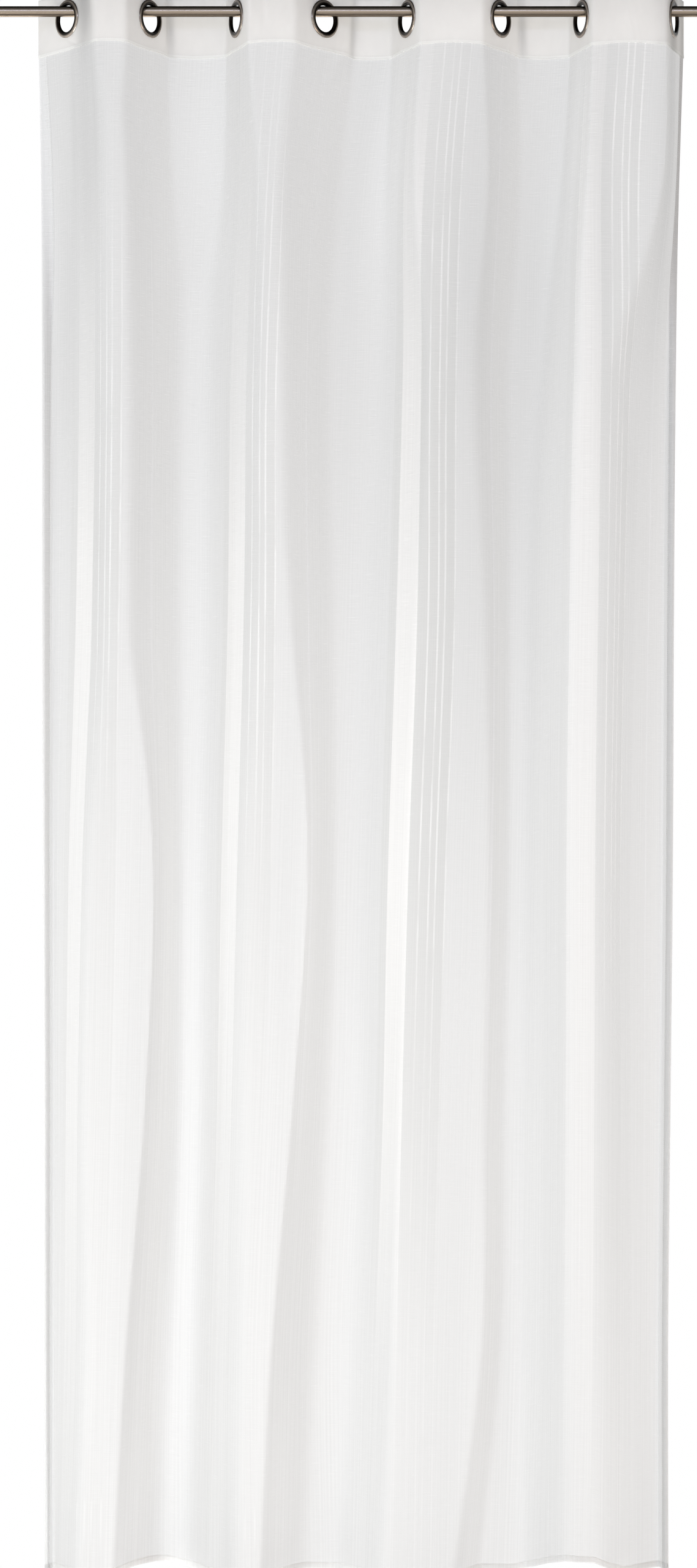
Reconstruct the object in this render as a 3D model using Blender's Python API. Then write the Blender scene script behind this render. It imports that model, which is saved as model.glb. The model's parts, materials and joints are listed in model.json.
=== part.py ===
"""Sheer voile curtain hung by eight metal eyelets from a plain round rod.

Frame: the origin is on the rod's axis at mid length. +X runs along the rod, -Y faces the room,
+Z is up. All sizes are in metres, all angles in degrees.

The cloth is described by its plan: seen from above it runs left to right as a row of flanks, each
one the steep side of a fold. A flank is placed by where its middle stands along the rod, how
steeply it runs against the rod, and which lengthways thread of the cloth passes there. Between two
flanks the depth of the fold follows from the length of cloth that has to fit in.
"""

import math

import bmesh
import bpy
import numpy as np
from mathutils import Matrix

# The cloth as it was cut, and its hems.
CLOTH_WIDTH = 1.400
VOILE_THICKNESS = 0.0010
HEM_THICKNESS = 0.0020
SIDE_HEM = 0.020
BOTTOM_HEM = 0.012

# The heading band, measured from the rod's axis.
HEADING_TOP = 0.029
HEADING_BOTTOM = -0.057
HEADING_THICKNESS = 0.0022
SEAM_GAP = 0.0003

# The rod: a 16 mm tube with closed flat ends.
ROD_RADIUS = 0.008
ROD_LENGTH = 1.200
ROD_END_CHAMFER = 0.0005
ROD_SIDES = 32

# The eyelets: 40 mm bore, hung so that the rod lies just under the top of the bore.
EYELET_DROP = 0.0112
EYELET_BORE = 0.0200
EYELET_WAIST = 0.0217
EYELET_FLANGE = 0.0290
EYELET_LIP = 0.0024
EYELET_DOME = 0.0012
FLANGE_ROLL = 0.0020
FLANGE_RIM = 0.0006
FLANGE_GAP = 0.0003
EYELET_SIDES = 24
CLOTH_HOLE = 0.0224
CUTTER_LENGTH = 0.022

# Mesh fineness: steps across each fold, steps across each margin, and rows down the panel, which
# lie closer under the heading. The plan itself is worked out on a finer line.
STEPS_PER_FOLD = 10
STEPS_PER_MARGIN = 5
PANEL_ROWS = 13
ROW_CROWDING = 1.15
PLAN_SAMPLES = 241
SMOOTH_ANGLE = math.radians(40)

# A fold's depth is found by halving this range so many times.
DEEPEST_FOLD = 0.100
HALVINGS = 30

# How far below the rod's axis each column of the fold table is read.
LEVELS = (0.057, 0.220, 0.545, 0.920, 1.295, 1.670, 2.045, 2.380)

# One entry for each flank of the folds, left to right. Odd ones come towards the room, even ones
# go back. across: the middle's place along the rod; angle: steepness against the rod; thread: the
# distance of the thread there from the cloth's left edge; crest: how much of the flank's half in
# front is straight, the rest being rounded over. Each has one value for each level.
FLANKS = (
    {
        "across": (-0.430, -0.412, -0.400, -0.403, -0.418, -0.426, -0.430, -0.440),
        "angle": (52, 50, 50, 52, 56, 60, 60, 64),
        "thread": (0.069, 0.084, 0.100, 0.104, 0.102, 0.098, 0.096, 0.090),
        "crest": (0.70, 0.45, 0.25, 0.20, 0.20, 0.20, 0.20, 0.20),
    },
    {
        "across": (-0.304, -0.301, -0.293, -0.288, -0.276, -0.284, -0.306, -0.326),
        "angle": (57, 56, 56, 58, 68, 64, 62, 60),
        "thread": (0.244, 0.255, 0.268, 0.280, 0.294, 0.290, 0.280, 0.262),
        "crest": (0.70, 0.50, 0.40, 0.55, 0.75, 0.78, 0.75, 0.65),
    },
    {
        "across": (-0.171, -0.170, -0.171, -0.176, -0.186, -0.194, -0.203, -0.215),
        "angle": (67, 63, 51, 52, 52, 54, 56, 56),
        "thread": (0.424, 0.432, 0.457, 0.457, 0.457, 0.457, 0.455, 0.440),
        "crest": (0.70, 0.45, 0.25, 0.20, 0.20, 0.20, 0.20, 0.20),
    },
    {
        "across": (-0.037, -0.050, -0.059, -0.048, -0.040, -0.057, -0.080, -0.099),
        "angle": (48, 52, 55, 60, 68, 64, 60, 60),
        "thread": (0.604, 0.612, 0.622, 0.640, 0.654, 0.648, 0.640, 0.616),
        "crest": (0.70, 0.50, 0.40, 0.55, 0.78, 0.80, 0.78, 0.65),
    },
    {
        "across": (0.090, 0.086, 0.095, 0.086, 0.073, 0.064, 0.050, 0.018),
        "angle": (64, 61, 52, 48, 48, 54, 50, 54),
        "thread": (0.779, 0.797, 0.817, 0.817, 0.817, 0.817, 0.812, 0.775),
        "crest": (0.70, 0.45, 0.25, 0.20, 0.20, 0.20, 0.20, 0.20),
    },
    {
        "across": (0.232, 0.231, 0.224, 0.233, 0.235, 0.226, 0.220, 0.188),
        "angle": (55, 56, 57, 60, 62, 60, 60, 58),
        "thread": (0.964, 0.970, 0.982, 0.992, 1.006, 1.004, 1.005, 0.985),
        "crest": (0.70, 0.50, 0.30, 0.25, 0.30, 0.30, 0.30, 0.35),
    },
    {
        "across": (0.357, 0.353, 0.325, 0.308, 0.300, 0.296, 0.293, 0.286),
        "angle": (70, 68, 60, 52, 52, 50, 50, 48),
        "thread": (1.139, 1.151, 1.122, 1.110, 1.102, 1.100, 1.100, 1.098),
        "crest": (0.70, 0.45, 0.25, 0.20, 0.20, 0.20, 0.20, 0.20),
    },
    {
        "across": (0.497, 0.494, 0.451, 0.438, 0.432, 0.432, 0.432, 0.432),
        "angle": (71, 71, 50, 48, 48, 48, 48, 48),
        "thread": (1.331, 1.330, 1.290, 1.288, 1.290, 1.290, 1.290, 1.290),
        "crest": (0.70, 0.50, 0.10, 0.05, 0.05, 0.05, 0.05, 0.05),
    },
)

# What the folds share at each level. left, right: where the cloth's edges stand; curl: how much of
# the fold's depth an edge turns back to the room; foot: how much of a flank's half behind is
# straight, on flanks that come forward and on flanks that go back; lean: how far the latter stand
# behind the former.
SHARED = {
    "left": (-0.475, -0.470, -0.470, -0.469, -0.466, -0.465, -0.463, -0.462),
    "right": (0.515, 0.510, 0.501, 0.499, 0.497, 0.492, 0.489, 0.489),
    "curl": (0.0, 0.0, 0.30, 0.40, 0.45, 0.45, 0.45, 0.45),
    "foot_forward": (0.70, 0.45, 0.25, 0.20, 0.20, 0.20, 0.20, 0.20),
    "foot_back": (0.70, 0.45, 0.20, 0.12, 0.08, 0.05, 0.05, 0.05),
    "lean": (0.0, 0.0, 0.012, 0.020, 0.016, 0.012, 0.008, 0.0),
}
EDGE_CURL_WIDTH = 0.018
EDGE_DEPTH = 0.062

# The lower edge: how far below the rod's axis it hangs, by thread.
HEM_DROP = (
    (0.00, 2.380),
    (0.16, 2.380),
    (0.35, 2.386),
    (0.52, 2.384),
    (0.70, 2.393),
    (0.88, 2.386),
    (1.05, 2.380),
    (1.18, 2.366),
    (1.30, 2.383),
    (1.40, 2.383),
)


def clear_scene():
    """Removes every object that the scene starts with."""
    for obj in list(bpy.data.objects):
        bpy.data.objects.remove(obj, do_unlink=True)


def make_material(name, colour, roughness, metallic):
    """A Principled material of one colour."""
    material = bpy.data.materials.new(name)
    material.use_nodes = True
    shader = material.node_tree.nodes["Principled BSDF"]
    shader.inputs["Base Color"].default_value = (*colour, 1.0)
    shader.inputs["Roughness"].default_value = roughness
    shader.inputs["Metallic"].default_value = metallic
    material.diffuse_color = (*colour, 1.0)
    return material


def add_object(name, mesh, material):
    """Links a mesh into the scene under its own name."""
    mesh.materials.append(material)
    obj = bpy.data.objects.new(name, mesh)
    bpy.context.scene.collection.objects.link(obj)
    return obj


def eased(knots, values, at):
    """A smooth curve through the values at the knots: a cubic between each two, of shared slope."""
    knots, values = np.asarray(knots), np.asarray(values, float)
    slopes = np.gradient(values, knots)
    at = np.clip(at, knots[0], knots[-1])
    low = int(np.clip(np.searchsorted(knots, at) - 1, 0, len(knots) - 2))
    span = knots[low + 1] - knots[low]
    t = (at - knots[low]) / span
    return float(
        values[low] * (1 + 2 * t) * (1 - t) ** 2
        + values[low + 1] * t**2 * (3 - 2 * t)
        + span * slopes[low] * t * (1 - t) ** 2
        - span * slopes[low + 1] * t**2 * (1 - t)
    )


def ramp(t, crisp):
    """From -1 to 1 over t = -1 to 1: straight in the middle share, rounded off at both ends."""
    reach = np.clip(np.abs(t), 0.0, 1.0)
    rest = 1.0 - crisp
    rounded = crisp + (reach - crisp) / 2 + rest / (2 * math.pi) * np.sin(
        math.pi * (reach - crisp) / rest
    )
    return np.sign(t) * np.where(reach < crisp, reach, rounded) * 2 / (1 + crisp)


def run_out(depth, angle, crisp):
    """How far along the rod a flank takes from its middle to the depth of its fold."""
    return max(2 * abs(depth) / ((1 + crisp) * math.tan(math.radians(angle))), 1e-6)


def fold_line(start, end, depth, turn):
    """The plan between the middles of two flanks, for a fold as deep as given.

    Where both flanks don't fit side by side, both turn steeper until they meet.
    """
    distance = end["across"] - start["across"]
    x = np.linspace(start["across"], end["across"], PLAN_SAMPLES)
    rise, fall = depth - start["stand"], depth - end["stand"]
    out = run_out(rise, start["angle"], start[turn])
    home = run_out(fall, end["angle"], end[turn])
    fit = min(distance / (out + home), 1.0)
    up = rise * ramp((x - x[0]) / (out * fit), start[turn])
    down = fall * ramp((x[-1] - x) / (home * fit), end[turn])
    return x, start["stand"] + up + down - fall


def margin_line(flank, edge, curl):
    """The plan from a flank's middle out to a free edge, which curls back to the room."""
    x = np.linspace(flank["across"], edge, PLAN_SAMPLES)
    away = np.abs(x - x[0])
    run = run_out(EDGE_DEPTH, flank["angle"], flank["foot"])
    y = flank["stand"] + EDGE_DEPTH * ramp(away / run, flank["foot"])
    along = 2 * (away - away[-1]) / EDGE_CURL_WIDTH + 1
    return x, y - curl * EDGE_DEPTH * (1 + ramp(along, 0.0)) / 2


def line_length(x, y):
    """The distance along a plan line, from its start to each of its points."""
    return np.concatenate([[0.0], np.cumsum(np.hypot(np.diff(x), np.diff(y)))])


def fitted_fold(start, end, side):
    """The plan of a fold to one side, -1 the room's, as deep as its length of cloth makes it."""
    cloth = end["thread"] - start["thread"]
    turn = "crest" if side < 0 else "foot"
    shallow, deep = 0.0, DEEPEST_FOLD
    for _ in range(HALVINGS):
        depth = (shallow + deep) / 2
        x, y = fold_line(start, end, side * depth, turn)
        if line_length(x, y)[-1] < cloth:
            shallow = depth
        else:
            deep = depth
    return x, y


def even_steps(x, y, steps):
    """Points at even steps along a plan line."""
    length = line_length(x, y)
    at = np.linspace(0.0, length[-1], steps + 1)
    return np.stack([np.interp(at, length, x), np.interp(at, length, y)], axis=1)


def plan_at(drop):
    """The cloth's plan at a distance below the rod's axis: points left to right, (x, y) each."""
    shared = {name: eased(LEVELS, values, drop) for name, values in SHARED.items()}
    flanks = []
    for number, flank in enumerate(FLANKS, start=1):
        forward = number % 2 == 1
        row = {name: eased(LEVELS, values, drop) for name, values in flank.items()}
        row["foot"] = shared["foot_forward"] if forward else shared["foot_back"]
        row["stand"] = (-0.5 if forward else 0.5) * shared["lean"]
        flanks.append(row)

    x, y = margin_line(flanks[0], shared["left"], shared["curl"])
    pieces = [even_steps(x[::-1], y[::-1], STEPS_PER_MARGIN)]
    for number in range(1, len(flanks)):
        side = -1 if number % 2 == 1 else 1
        x, y = fitted_fold(flanks[number - 1], flanks[number], side)
        pieces.append(even_steps(x, y, STEPS_PER_FOLD)[1:])
    x, y = margin_line(flanks[-1], shared["right"], shared["curl"])
    pieces.append(even_steps(x, y, STEPS_PER_MARGIN)[1:])
    return np.concatenate(pieces)


def thread_steps():
    """The thread at each point of the plan at the heading, from the cloth's left edge."""
    threads = [flank["thread"][0] for flank in FLANKS]
    parts = [np.linspace(0.0, threads[0], STEPS_PER_MARGIN + 1)]
    for start, end in zip(threads, threads[1:]):
        parts.append(np.linspace(start, end, STEPS_PER_FOLD + 1)[1:])
    parts.append(np.linspace(threads[-1], CLOTH_WIDTH, STEPS_PER_MARGIN + 1)[1:])
    return np.concatenate(parts)


def grid_mesh(name, rows):
    """A mesh of quads over rows of points, the first row on top, faces towards the room."""
    count, across = rows.shape[0], rows.shape[1]
    corner = np.arange(count * across).reshape(count, across)
    quads = np.stack(
        [corner[:-1, :-1], corner[1:, :-1], corner[1:, 1:], corner[:-1, 1:]], axis=-1
    )
    mesh = bpy.data.meshes.new(name)
    mesh.from_pydata(rows.reshape(-1, 3).tolist(), [], quads.reshape(-1, 4).tolist())
    mesh.shade_smooth()
    return mesh


def thicken(obj, thickness):
    """Gives a sheet its thickness, half on each side, with closed edges."""
    solidify = obj.modifiers.new("Thickness", "SOLIDIFY")
    solidify.thickness = thickness
    solidify.offset = 0.0
    return solidify


def build_panel(material):
    """The voile below the heading, from its seam down to the uneven hem, thicker at its hems."""
    threads = thread_steps()
    top = -HEADING_BOTTOM + SEAM_GAP
    hem = np.interp(threads, *np.array(HEM_DROP).T)
    shares = np.linspace(0.0, 1.0, PANEL_ROWS) ** ROW_CROWDING
    hem_share = 1.0 - BOTTOM_HEM / (hem.mean() - top)
    shares = np.sort(np.append(shares, hem_share))
    rows = []
    for share in shares:
        plan = plan_at(top + share * (hem.mean() - top))
        rows.append(np.column_stack([plan, -(top + share * (hem - top))]))
    rows = np.array(rows)
    obj = add_object("voile_panel", grid_mesh("voile_panel", rows), material)

    at_side = (threads <= SIDE_HEM) | (threads >= CLOTH_WIDTH - SIDE_HEM)
    at_hem = (shares >= hem_share)[:, None] | at_side[None, :]
    hems = obj.vertex_groups.new(name="hems")
    hems.add(np.flatnonzero(at_hem.ravel()).tolist(), 1.0, "REPLACE")
    solidify = thicken(obj, HEM_THICKNESS)
    solidify.vertex_group = "hems"
    solidify.thickness_vertex_group = VOILE_THICKNESS / HEM_THICKNESS
    return obj


def build_heading(material, cutters):
    """The doubled band at the top, with a round hole for each eyelet."""
    plan = plan_at(-HEADING_BOTTOM)
    heights = (HEADING_TOP, -EYELET_DROP, HEADING_BOTTOM)
    rows = np.array([np.column_stack([plan, np.full(len(plan), z)]) for z in heights])
    obj = add_object("heading_band", grid_mesh("heading_band", rows), material)
    thicken(obj, HEADING_THICKNESS)
    holes = obj.modifiers.new("Eyelet holes", "BOOLEAN")
    holes.operation = "DIFFERENCE"
    holes.operand_type = "COLLECTION"
    holes.collection = cutters
    holes.solver = "EXACT"
    return obj


def eyelet_places():
    """Where each eyelet sits, with its axis along its own Z square to the cloth."""
    places = []
    for number, flank in enumerate(FLANKS, start=1):
        steep = math.radians(flank["angle"][0])
        if number % 2 == 1:
            steep = -steep
        turn = Matrix.Rotation(steep, 4, "Z") @ Matrix.Rotation(math.pi / 2, 4, "X")
        places.append(Matrix.Translation((flank["across"][0], 0.0, -EYELET_DROP)) @ turn)
    return places


def hole_cutters(places):
    """A plug for each hole in the heading, kept out of the finished object."""
    collection = bpy.data.collections.new("hole cutters")
    bpy.context.scene.collection.children.link(collection)
    for number, place in enumerate(places, start=1):
        cutter = bmesh.new()
        bmesh.ops.create_cone(
            cutter,
            cap_ends=True,
            segments=EYELET_SIDES,
            radius1=CLOTH_HOLE,
            radius2=CLOTH_HOLE,
            depth=CUTTER_LENGTH,
        )
        mesh = bpy.data.meshes.new(f"hole_{number}")
        cutter.to_mesh(mesh)
        cutter.free()
        obj = bpy.data.objects.new(f"hole_{number}", mesh)
        obj.matrix_world = place
        obj.hide_render = True
        obj.display_type = "WIRE"
        collection.objects.link(obj)
    return collection


def eyelet_profile():
    """One side of the eyelet's section, as (radius, distance along its axis), bore to waist."""
    grip = HEADING_THICKNESS / 2 + FLANGE_GAP
    crown = EYELET_LIP + EYELET_DOME
    return (
        (EYELET_BORE, EYELET_LIP),
        (EYELET_BORE + FLANGE_ROLL, crown),
        (EYELET_FLANGE - FLANGE_ROLL, crown - FLANGE_RIM),
        (EYELET_FLANGE, grip + FLANGE_RIM),
        (EYELET_FLANGE, grip),
        (EYELET_WAIST, grip),
    )


def eyelet_mesh():
    """The ring turned from its section: two domed flanges on a short barrel."""
    upper = eyelet_profile()
    lower = tuple((radius, -height) for radius, height in reversed(upper))
    ring = bmesh.new()
    section = [ring.verts.new((radius, 0.0, height)) for radius, height in upper + lower]
    edges = [ring.edges.new((a, b)) for a, b in zip(section, section[1:] + section[:1])]
    bmesh.ops.spin(
        ring,
        geom=section + edges,
        cent=(0.0, 0.0, 0.0),
        axis=(0.0, 0.0, 1.0),
        angle=2 * math.pi,
        steps=EYELET_SIDES,
        use_merge=True,
    )
    bmesh.ops.recalc_face_normals(ring, faces=ring.faces)
    mesh = bpy.data.meshes.new("eyelet")
    ring.to_mesh(mesh)
    ring.free()
    mesh.shade_smooth()
    mesh.set_sharp_from_angle(angle=SMOOTH_ANGLE)
    return mesh


def build_eyelets(material, places):
    """The eight eyelets, copies of one turned ring."""
    mesh = eyelet_mesh()
    mesh.materials.append(material)
    for number, place in enumerate(places, start=1):
        obj = bpy.data.objects.new(f"eyelet_{number}", mesh)
        obj.matrix_world = place
        bpy.context.scene.collection.objects.link(obj)


def build_rod(material):
    """The rod along X, its flat ends square to its axis."""
    rod = bmesh.new()
    bmesh.ops.create_cone(
        rod,
        cap_ends=True,
        segments=ROD_SIDES,
        radius1=ROD_RADIUS,
        radius2=ROD_RADIUS,
        depth=ROD_LENGTH,
        matrix=Matrix.Rotation(math.pi / 2, 4, "Y"),
    )
    ends = [face for face in rod.faces if len(face.verts) > 4]
    rims = {edge for face in ends for edge in face.edges}
    bmesh.ops.bevel(rod, geom=list(rims), offset=ROD_END_CHAMFER, segments=1, affect="EDGES")
    mesh = bpy.data.meshes.new("curtain_rod")
    rod.to_mesh(mesh)
    rod.free()
    mesh.shade_smooth()
    mesh.set_sharp_from_angle(angle=SMOOTH_ANGLE)
    return add_object("curtain_rod", mesh, material)


def main():
    """Builds the rod, the eyelets, the heading and the panel."""
    clear_scene()
    voile = make_material("sheer voile", (0.80, 0.78, 0.75), 0.85, 0.0)
    band = make_material("doubled voile", (0.76, 0.73, 0.67), 0.85, 0.0)
    gunmetal = make_material("gunmetal plate", (0.07, 0.065, 0.06), 0.30, 1.0)
    nickel = make_material("satin nickel", (0.34, 0.31, 0.28), 0.28, 1.0)
    places = eyelet_places()
    build_rod(nickel)
    build_eyelets(gunmetal, places)
    build_heading(band, hole_cutters(places))
    build_panel(voile)


main()
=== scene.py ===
"""Looks of a sheer voile curtain: its cloth with turned hems and stitching, its stiffened heading,
its pressed metal eyelets, and the satin rod they hang on, in a plain studio.

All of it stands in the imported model's frame: metres, the rod's axis along X at Z = 0, the room on
the -Y side and +Z up. Places on the cloth are given by thread, the distance of a lengthways thread
from the cloth's left edge, and by drop, the distance below the rod's axis.
"""

import json
import logging
import math
from dataclasses import dataclass, field
from enum import Enum

import bmesh
import bpy
import numpy as np
from mathutils import Matrix, Vector

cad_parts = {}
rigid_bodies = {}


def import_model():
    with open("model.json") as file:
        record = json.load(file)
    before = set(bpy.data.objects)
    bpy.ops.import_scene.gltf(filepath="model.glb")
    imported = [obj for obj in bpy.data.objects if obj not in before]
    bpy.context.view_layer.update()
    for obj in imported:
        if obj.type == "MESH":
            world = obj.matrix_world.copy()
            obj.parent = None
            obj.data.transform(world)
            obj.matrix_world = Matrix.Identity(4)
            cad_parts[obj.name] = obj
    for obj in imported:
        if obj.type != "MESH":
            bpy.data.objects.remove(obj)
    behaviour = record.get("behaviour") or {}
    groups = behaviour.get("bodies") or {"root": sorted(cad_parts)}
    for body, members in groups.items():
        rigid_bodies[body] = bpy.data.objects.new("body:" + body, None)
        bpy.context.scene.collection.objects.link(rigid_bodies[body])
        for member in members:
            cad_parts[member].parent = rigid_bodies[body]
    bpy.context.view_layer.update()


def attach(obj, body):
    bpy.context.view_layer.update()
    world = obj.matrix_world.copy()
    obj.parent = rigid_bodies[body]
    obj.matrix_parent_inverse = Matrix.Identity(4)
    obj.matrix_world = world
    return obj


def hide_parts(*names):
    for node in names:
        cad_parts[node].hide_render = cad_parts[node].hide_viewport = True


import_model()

# Grids of numbers, two or three of them, and the kinds of value that a node takes.
Array = np.ndarray
Pair = tuple[Array, Array]
Trio = tuple[Array, Array, Array]
Values = tuple[float, ...]
Span = tuple[float, float]
Point = tuple[float, float, float]
Tree = bpy.types.NodeTree
Node = bpy.types.Node
Socket = bpy.types.NodeSocket
Source = bpy.types.Node | bpy.types.NodeSocket | float
Material = bpy.types.Material
Object = bpy.types.Object
log = logging.getLogger("curtain")

MM = 0.001


# ---- Colours, nodes and meshes ----


def linear(colour: str) -> tuple[float, float, float, float]:
    """Turns an sRGB hex colour into the linear values that shaders take.

    Args:
        colour: The colour as "#rrggbb".

    Returns:
        Red, green and blue from 0 to 1, and an alpha of 1.
    """
    shares = [int(colour[at : at + 2], 16) / 255 for at in (1, 3, 5)]
    red, green, blue = [
        share / 12.92 if share <= 0.04045 else ((share + 0.055) / 1.055) ** 2.4 for share in shares
    ]
    return red, green, blue, 1.0


def add_node(tree: Tree, kind: str, inputs: dict | None = None, **settings) -> Node:
    """Adds a shader node with its settings, values and links.

    Args:
        tree: The node tree that the node joins.
        kind: Blender's name for the node, without the leading ShaderNode.
        inputs: For each input, by name or number, a plain value, the output that feeds it, or the
            node whose first output does.
        **settings: The node's own properties.

    Returns:
        The node.
    """
    node = tree.nodes.new(f"ShaderNode{kind}")
    for name, value in settings.items():
        setattr(node, name, value)
    for key, value in (inputs or {}).items():
        source = value.outputs[0] if isinstance(value, Node) else value
        if isinstance(source, Socket):
            tree.links.new(source, node.inputs[key])
        else:
            node.inputs[key].default_value = source
    return node


def mapped(value: Source, ends: Span = (0.0, 1.0), low: Source = 0.0, high: Source = 1.0) -> dict:
    """The inputs of a range that is laid on another.

    Args:
        value: What is mapped.
        ends: The values that become low and high.
        low: What the first of them becomes.
        high: What the second becomes.

    Returns:
        Each input by its name.
    """
    return {"Value": value, "From Min": ends[0], "From Max": ends[1], "To Min": low, "To Max": high}


def empty_tree(owner: bpy.types.ID) -> Tree:
    """Gives a material or a world an empty node tree.

    Args:
        owner: The material or world.

    Returns:
        Its node tree.
    """
    owner.use_nodes = True
    owner.node_tree.nodes.clear()
    return owner.node_tree


def mesh_object(
    name: str,
    points: Array,
    faces: Array,
    material: Material,
    uv: Array | None = None,
    marks: dict[str, Array] | None = None,
) -> Object:
    """Makes a smooth shaded object, unturned at the origin, from arrays.

    Args:
        name: The object's name.
        points: One row of x, y, z for each vertex.
        faces: One row of four vertex numbers for each face, anticlockwise from outside.
        material: The object's finish.
        uv: One row of thread and drop, in metres, for each vertex, or None.
        marks: Named values for its finish, one number for each vertex.

    Returns:
        The object, linked into the scene.
    """
    mesh = bpy.data.meshes.new(name)
    mesh.vertices.add(len(points))
    mesh.vertices.foreach_set("co", points.astype(np.float32).ravel())
    mesh.loops.add(faces.size)
    mesh.loops.foreach_set("vertex_index", faces.astype(np.int32).ravel())
    mesh.polygons.add(len(faces))
    starts = np.arange(0, faces.size, faces.shape[1], dtype=np.int32)
    mesh.polygons.foreach_set("loop_start", starts)
    if uv is not None:
        layer = mesh.uv_layers.new(name="Cloth")
        layer.data.foreach_set("uv", uv[faces.ravel()].astype(np.float32).ravel())
    for mark, values in (marks or {}).items():
        attribute = mesh.attributes.new(mark, "FLOAT", "POINT")
        attribute.data.foreach_set("value", values.astype(np.float32).ravel())
    mesh.update(calc_edges=True)
    mesh.validate()
    mesh.shade_smooth()
    mesh.materials.append(material)
    obj = bpy.data.objects.new(name, mesh)
    bpy.context.scene.collection.objects.link(obj)
    return obj


def grid_faces(
    rows: int, columns: int, close_rows: bool = False, close_columns: bool = False
) -> Array:
    """Quads over a grid of points that runs downwards row by row and from left to right.

    Args:
        rows: How many rows of points there are.
        columns: How many points a row has.
        close_rows: Whether the last row joins the first.
        close_columns: Whether the last point of a row joins the first.

    Returns:
        Four point numbers for each quad, facing -Y where the grid hangs in front of the eye.
    """
    index = np.arange(rows * columns).reshape(rows, columns)
    if close_rows:
        index = np.vstack([index, index[:1]])
    if close_columns:
        index = np.hstack([index, index[:, :1]])
    corners = [index[:-1, :-1], index[1:, :-1], index[1:, 1:], index[:-1, 1:]]
    return np.stack(corners, axis=-1).reshape(-1, 4)


def revolve(section: Array, sides: int) -> Array:
    """Turns a section round the Z axis.

    Args:
        section: Rows of radius and height.
        sides: Steps round the axis.

    Returns:
        Points, one row for each point of the section and one column for each step.
    """
    turn = np.linspace(0, 2 * math.pi, sides, endpoint=False)
    radius, height = section[:, :1], section[:, 1:]
    ring = [radius * np.cos(turn), radius * np.sin(turn), height * np.ones(sides)]
    return np.stack(ring, axis=-1)


def unit(vectors: Array) -> Array:
    """Scales each vector, along the last axis, to a length of one."""
    return vectors / np.maximum(np.linalg.norm(vectors, axis=-1, keepdims=True), 1e-12)


# ---- How the cloth hangs ----


@dataclass(frozen=True)
class Flank:
    """The steep side of a fold, with one value for each level down the cloth.

    Attributes:
        across: Where its middle stands along the rod.
        angle: How steeply it runs against the rod, in degrees.
        thread: The thread that passes through its middle.
        crest: How much of its half towards the room is straight, the rest being rounded over.
    """

    across: Values
    angle: Values
    thread: Values
    crest: Values


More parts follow.
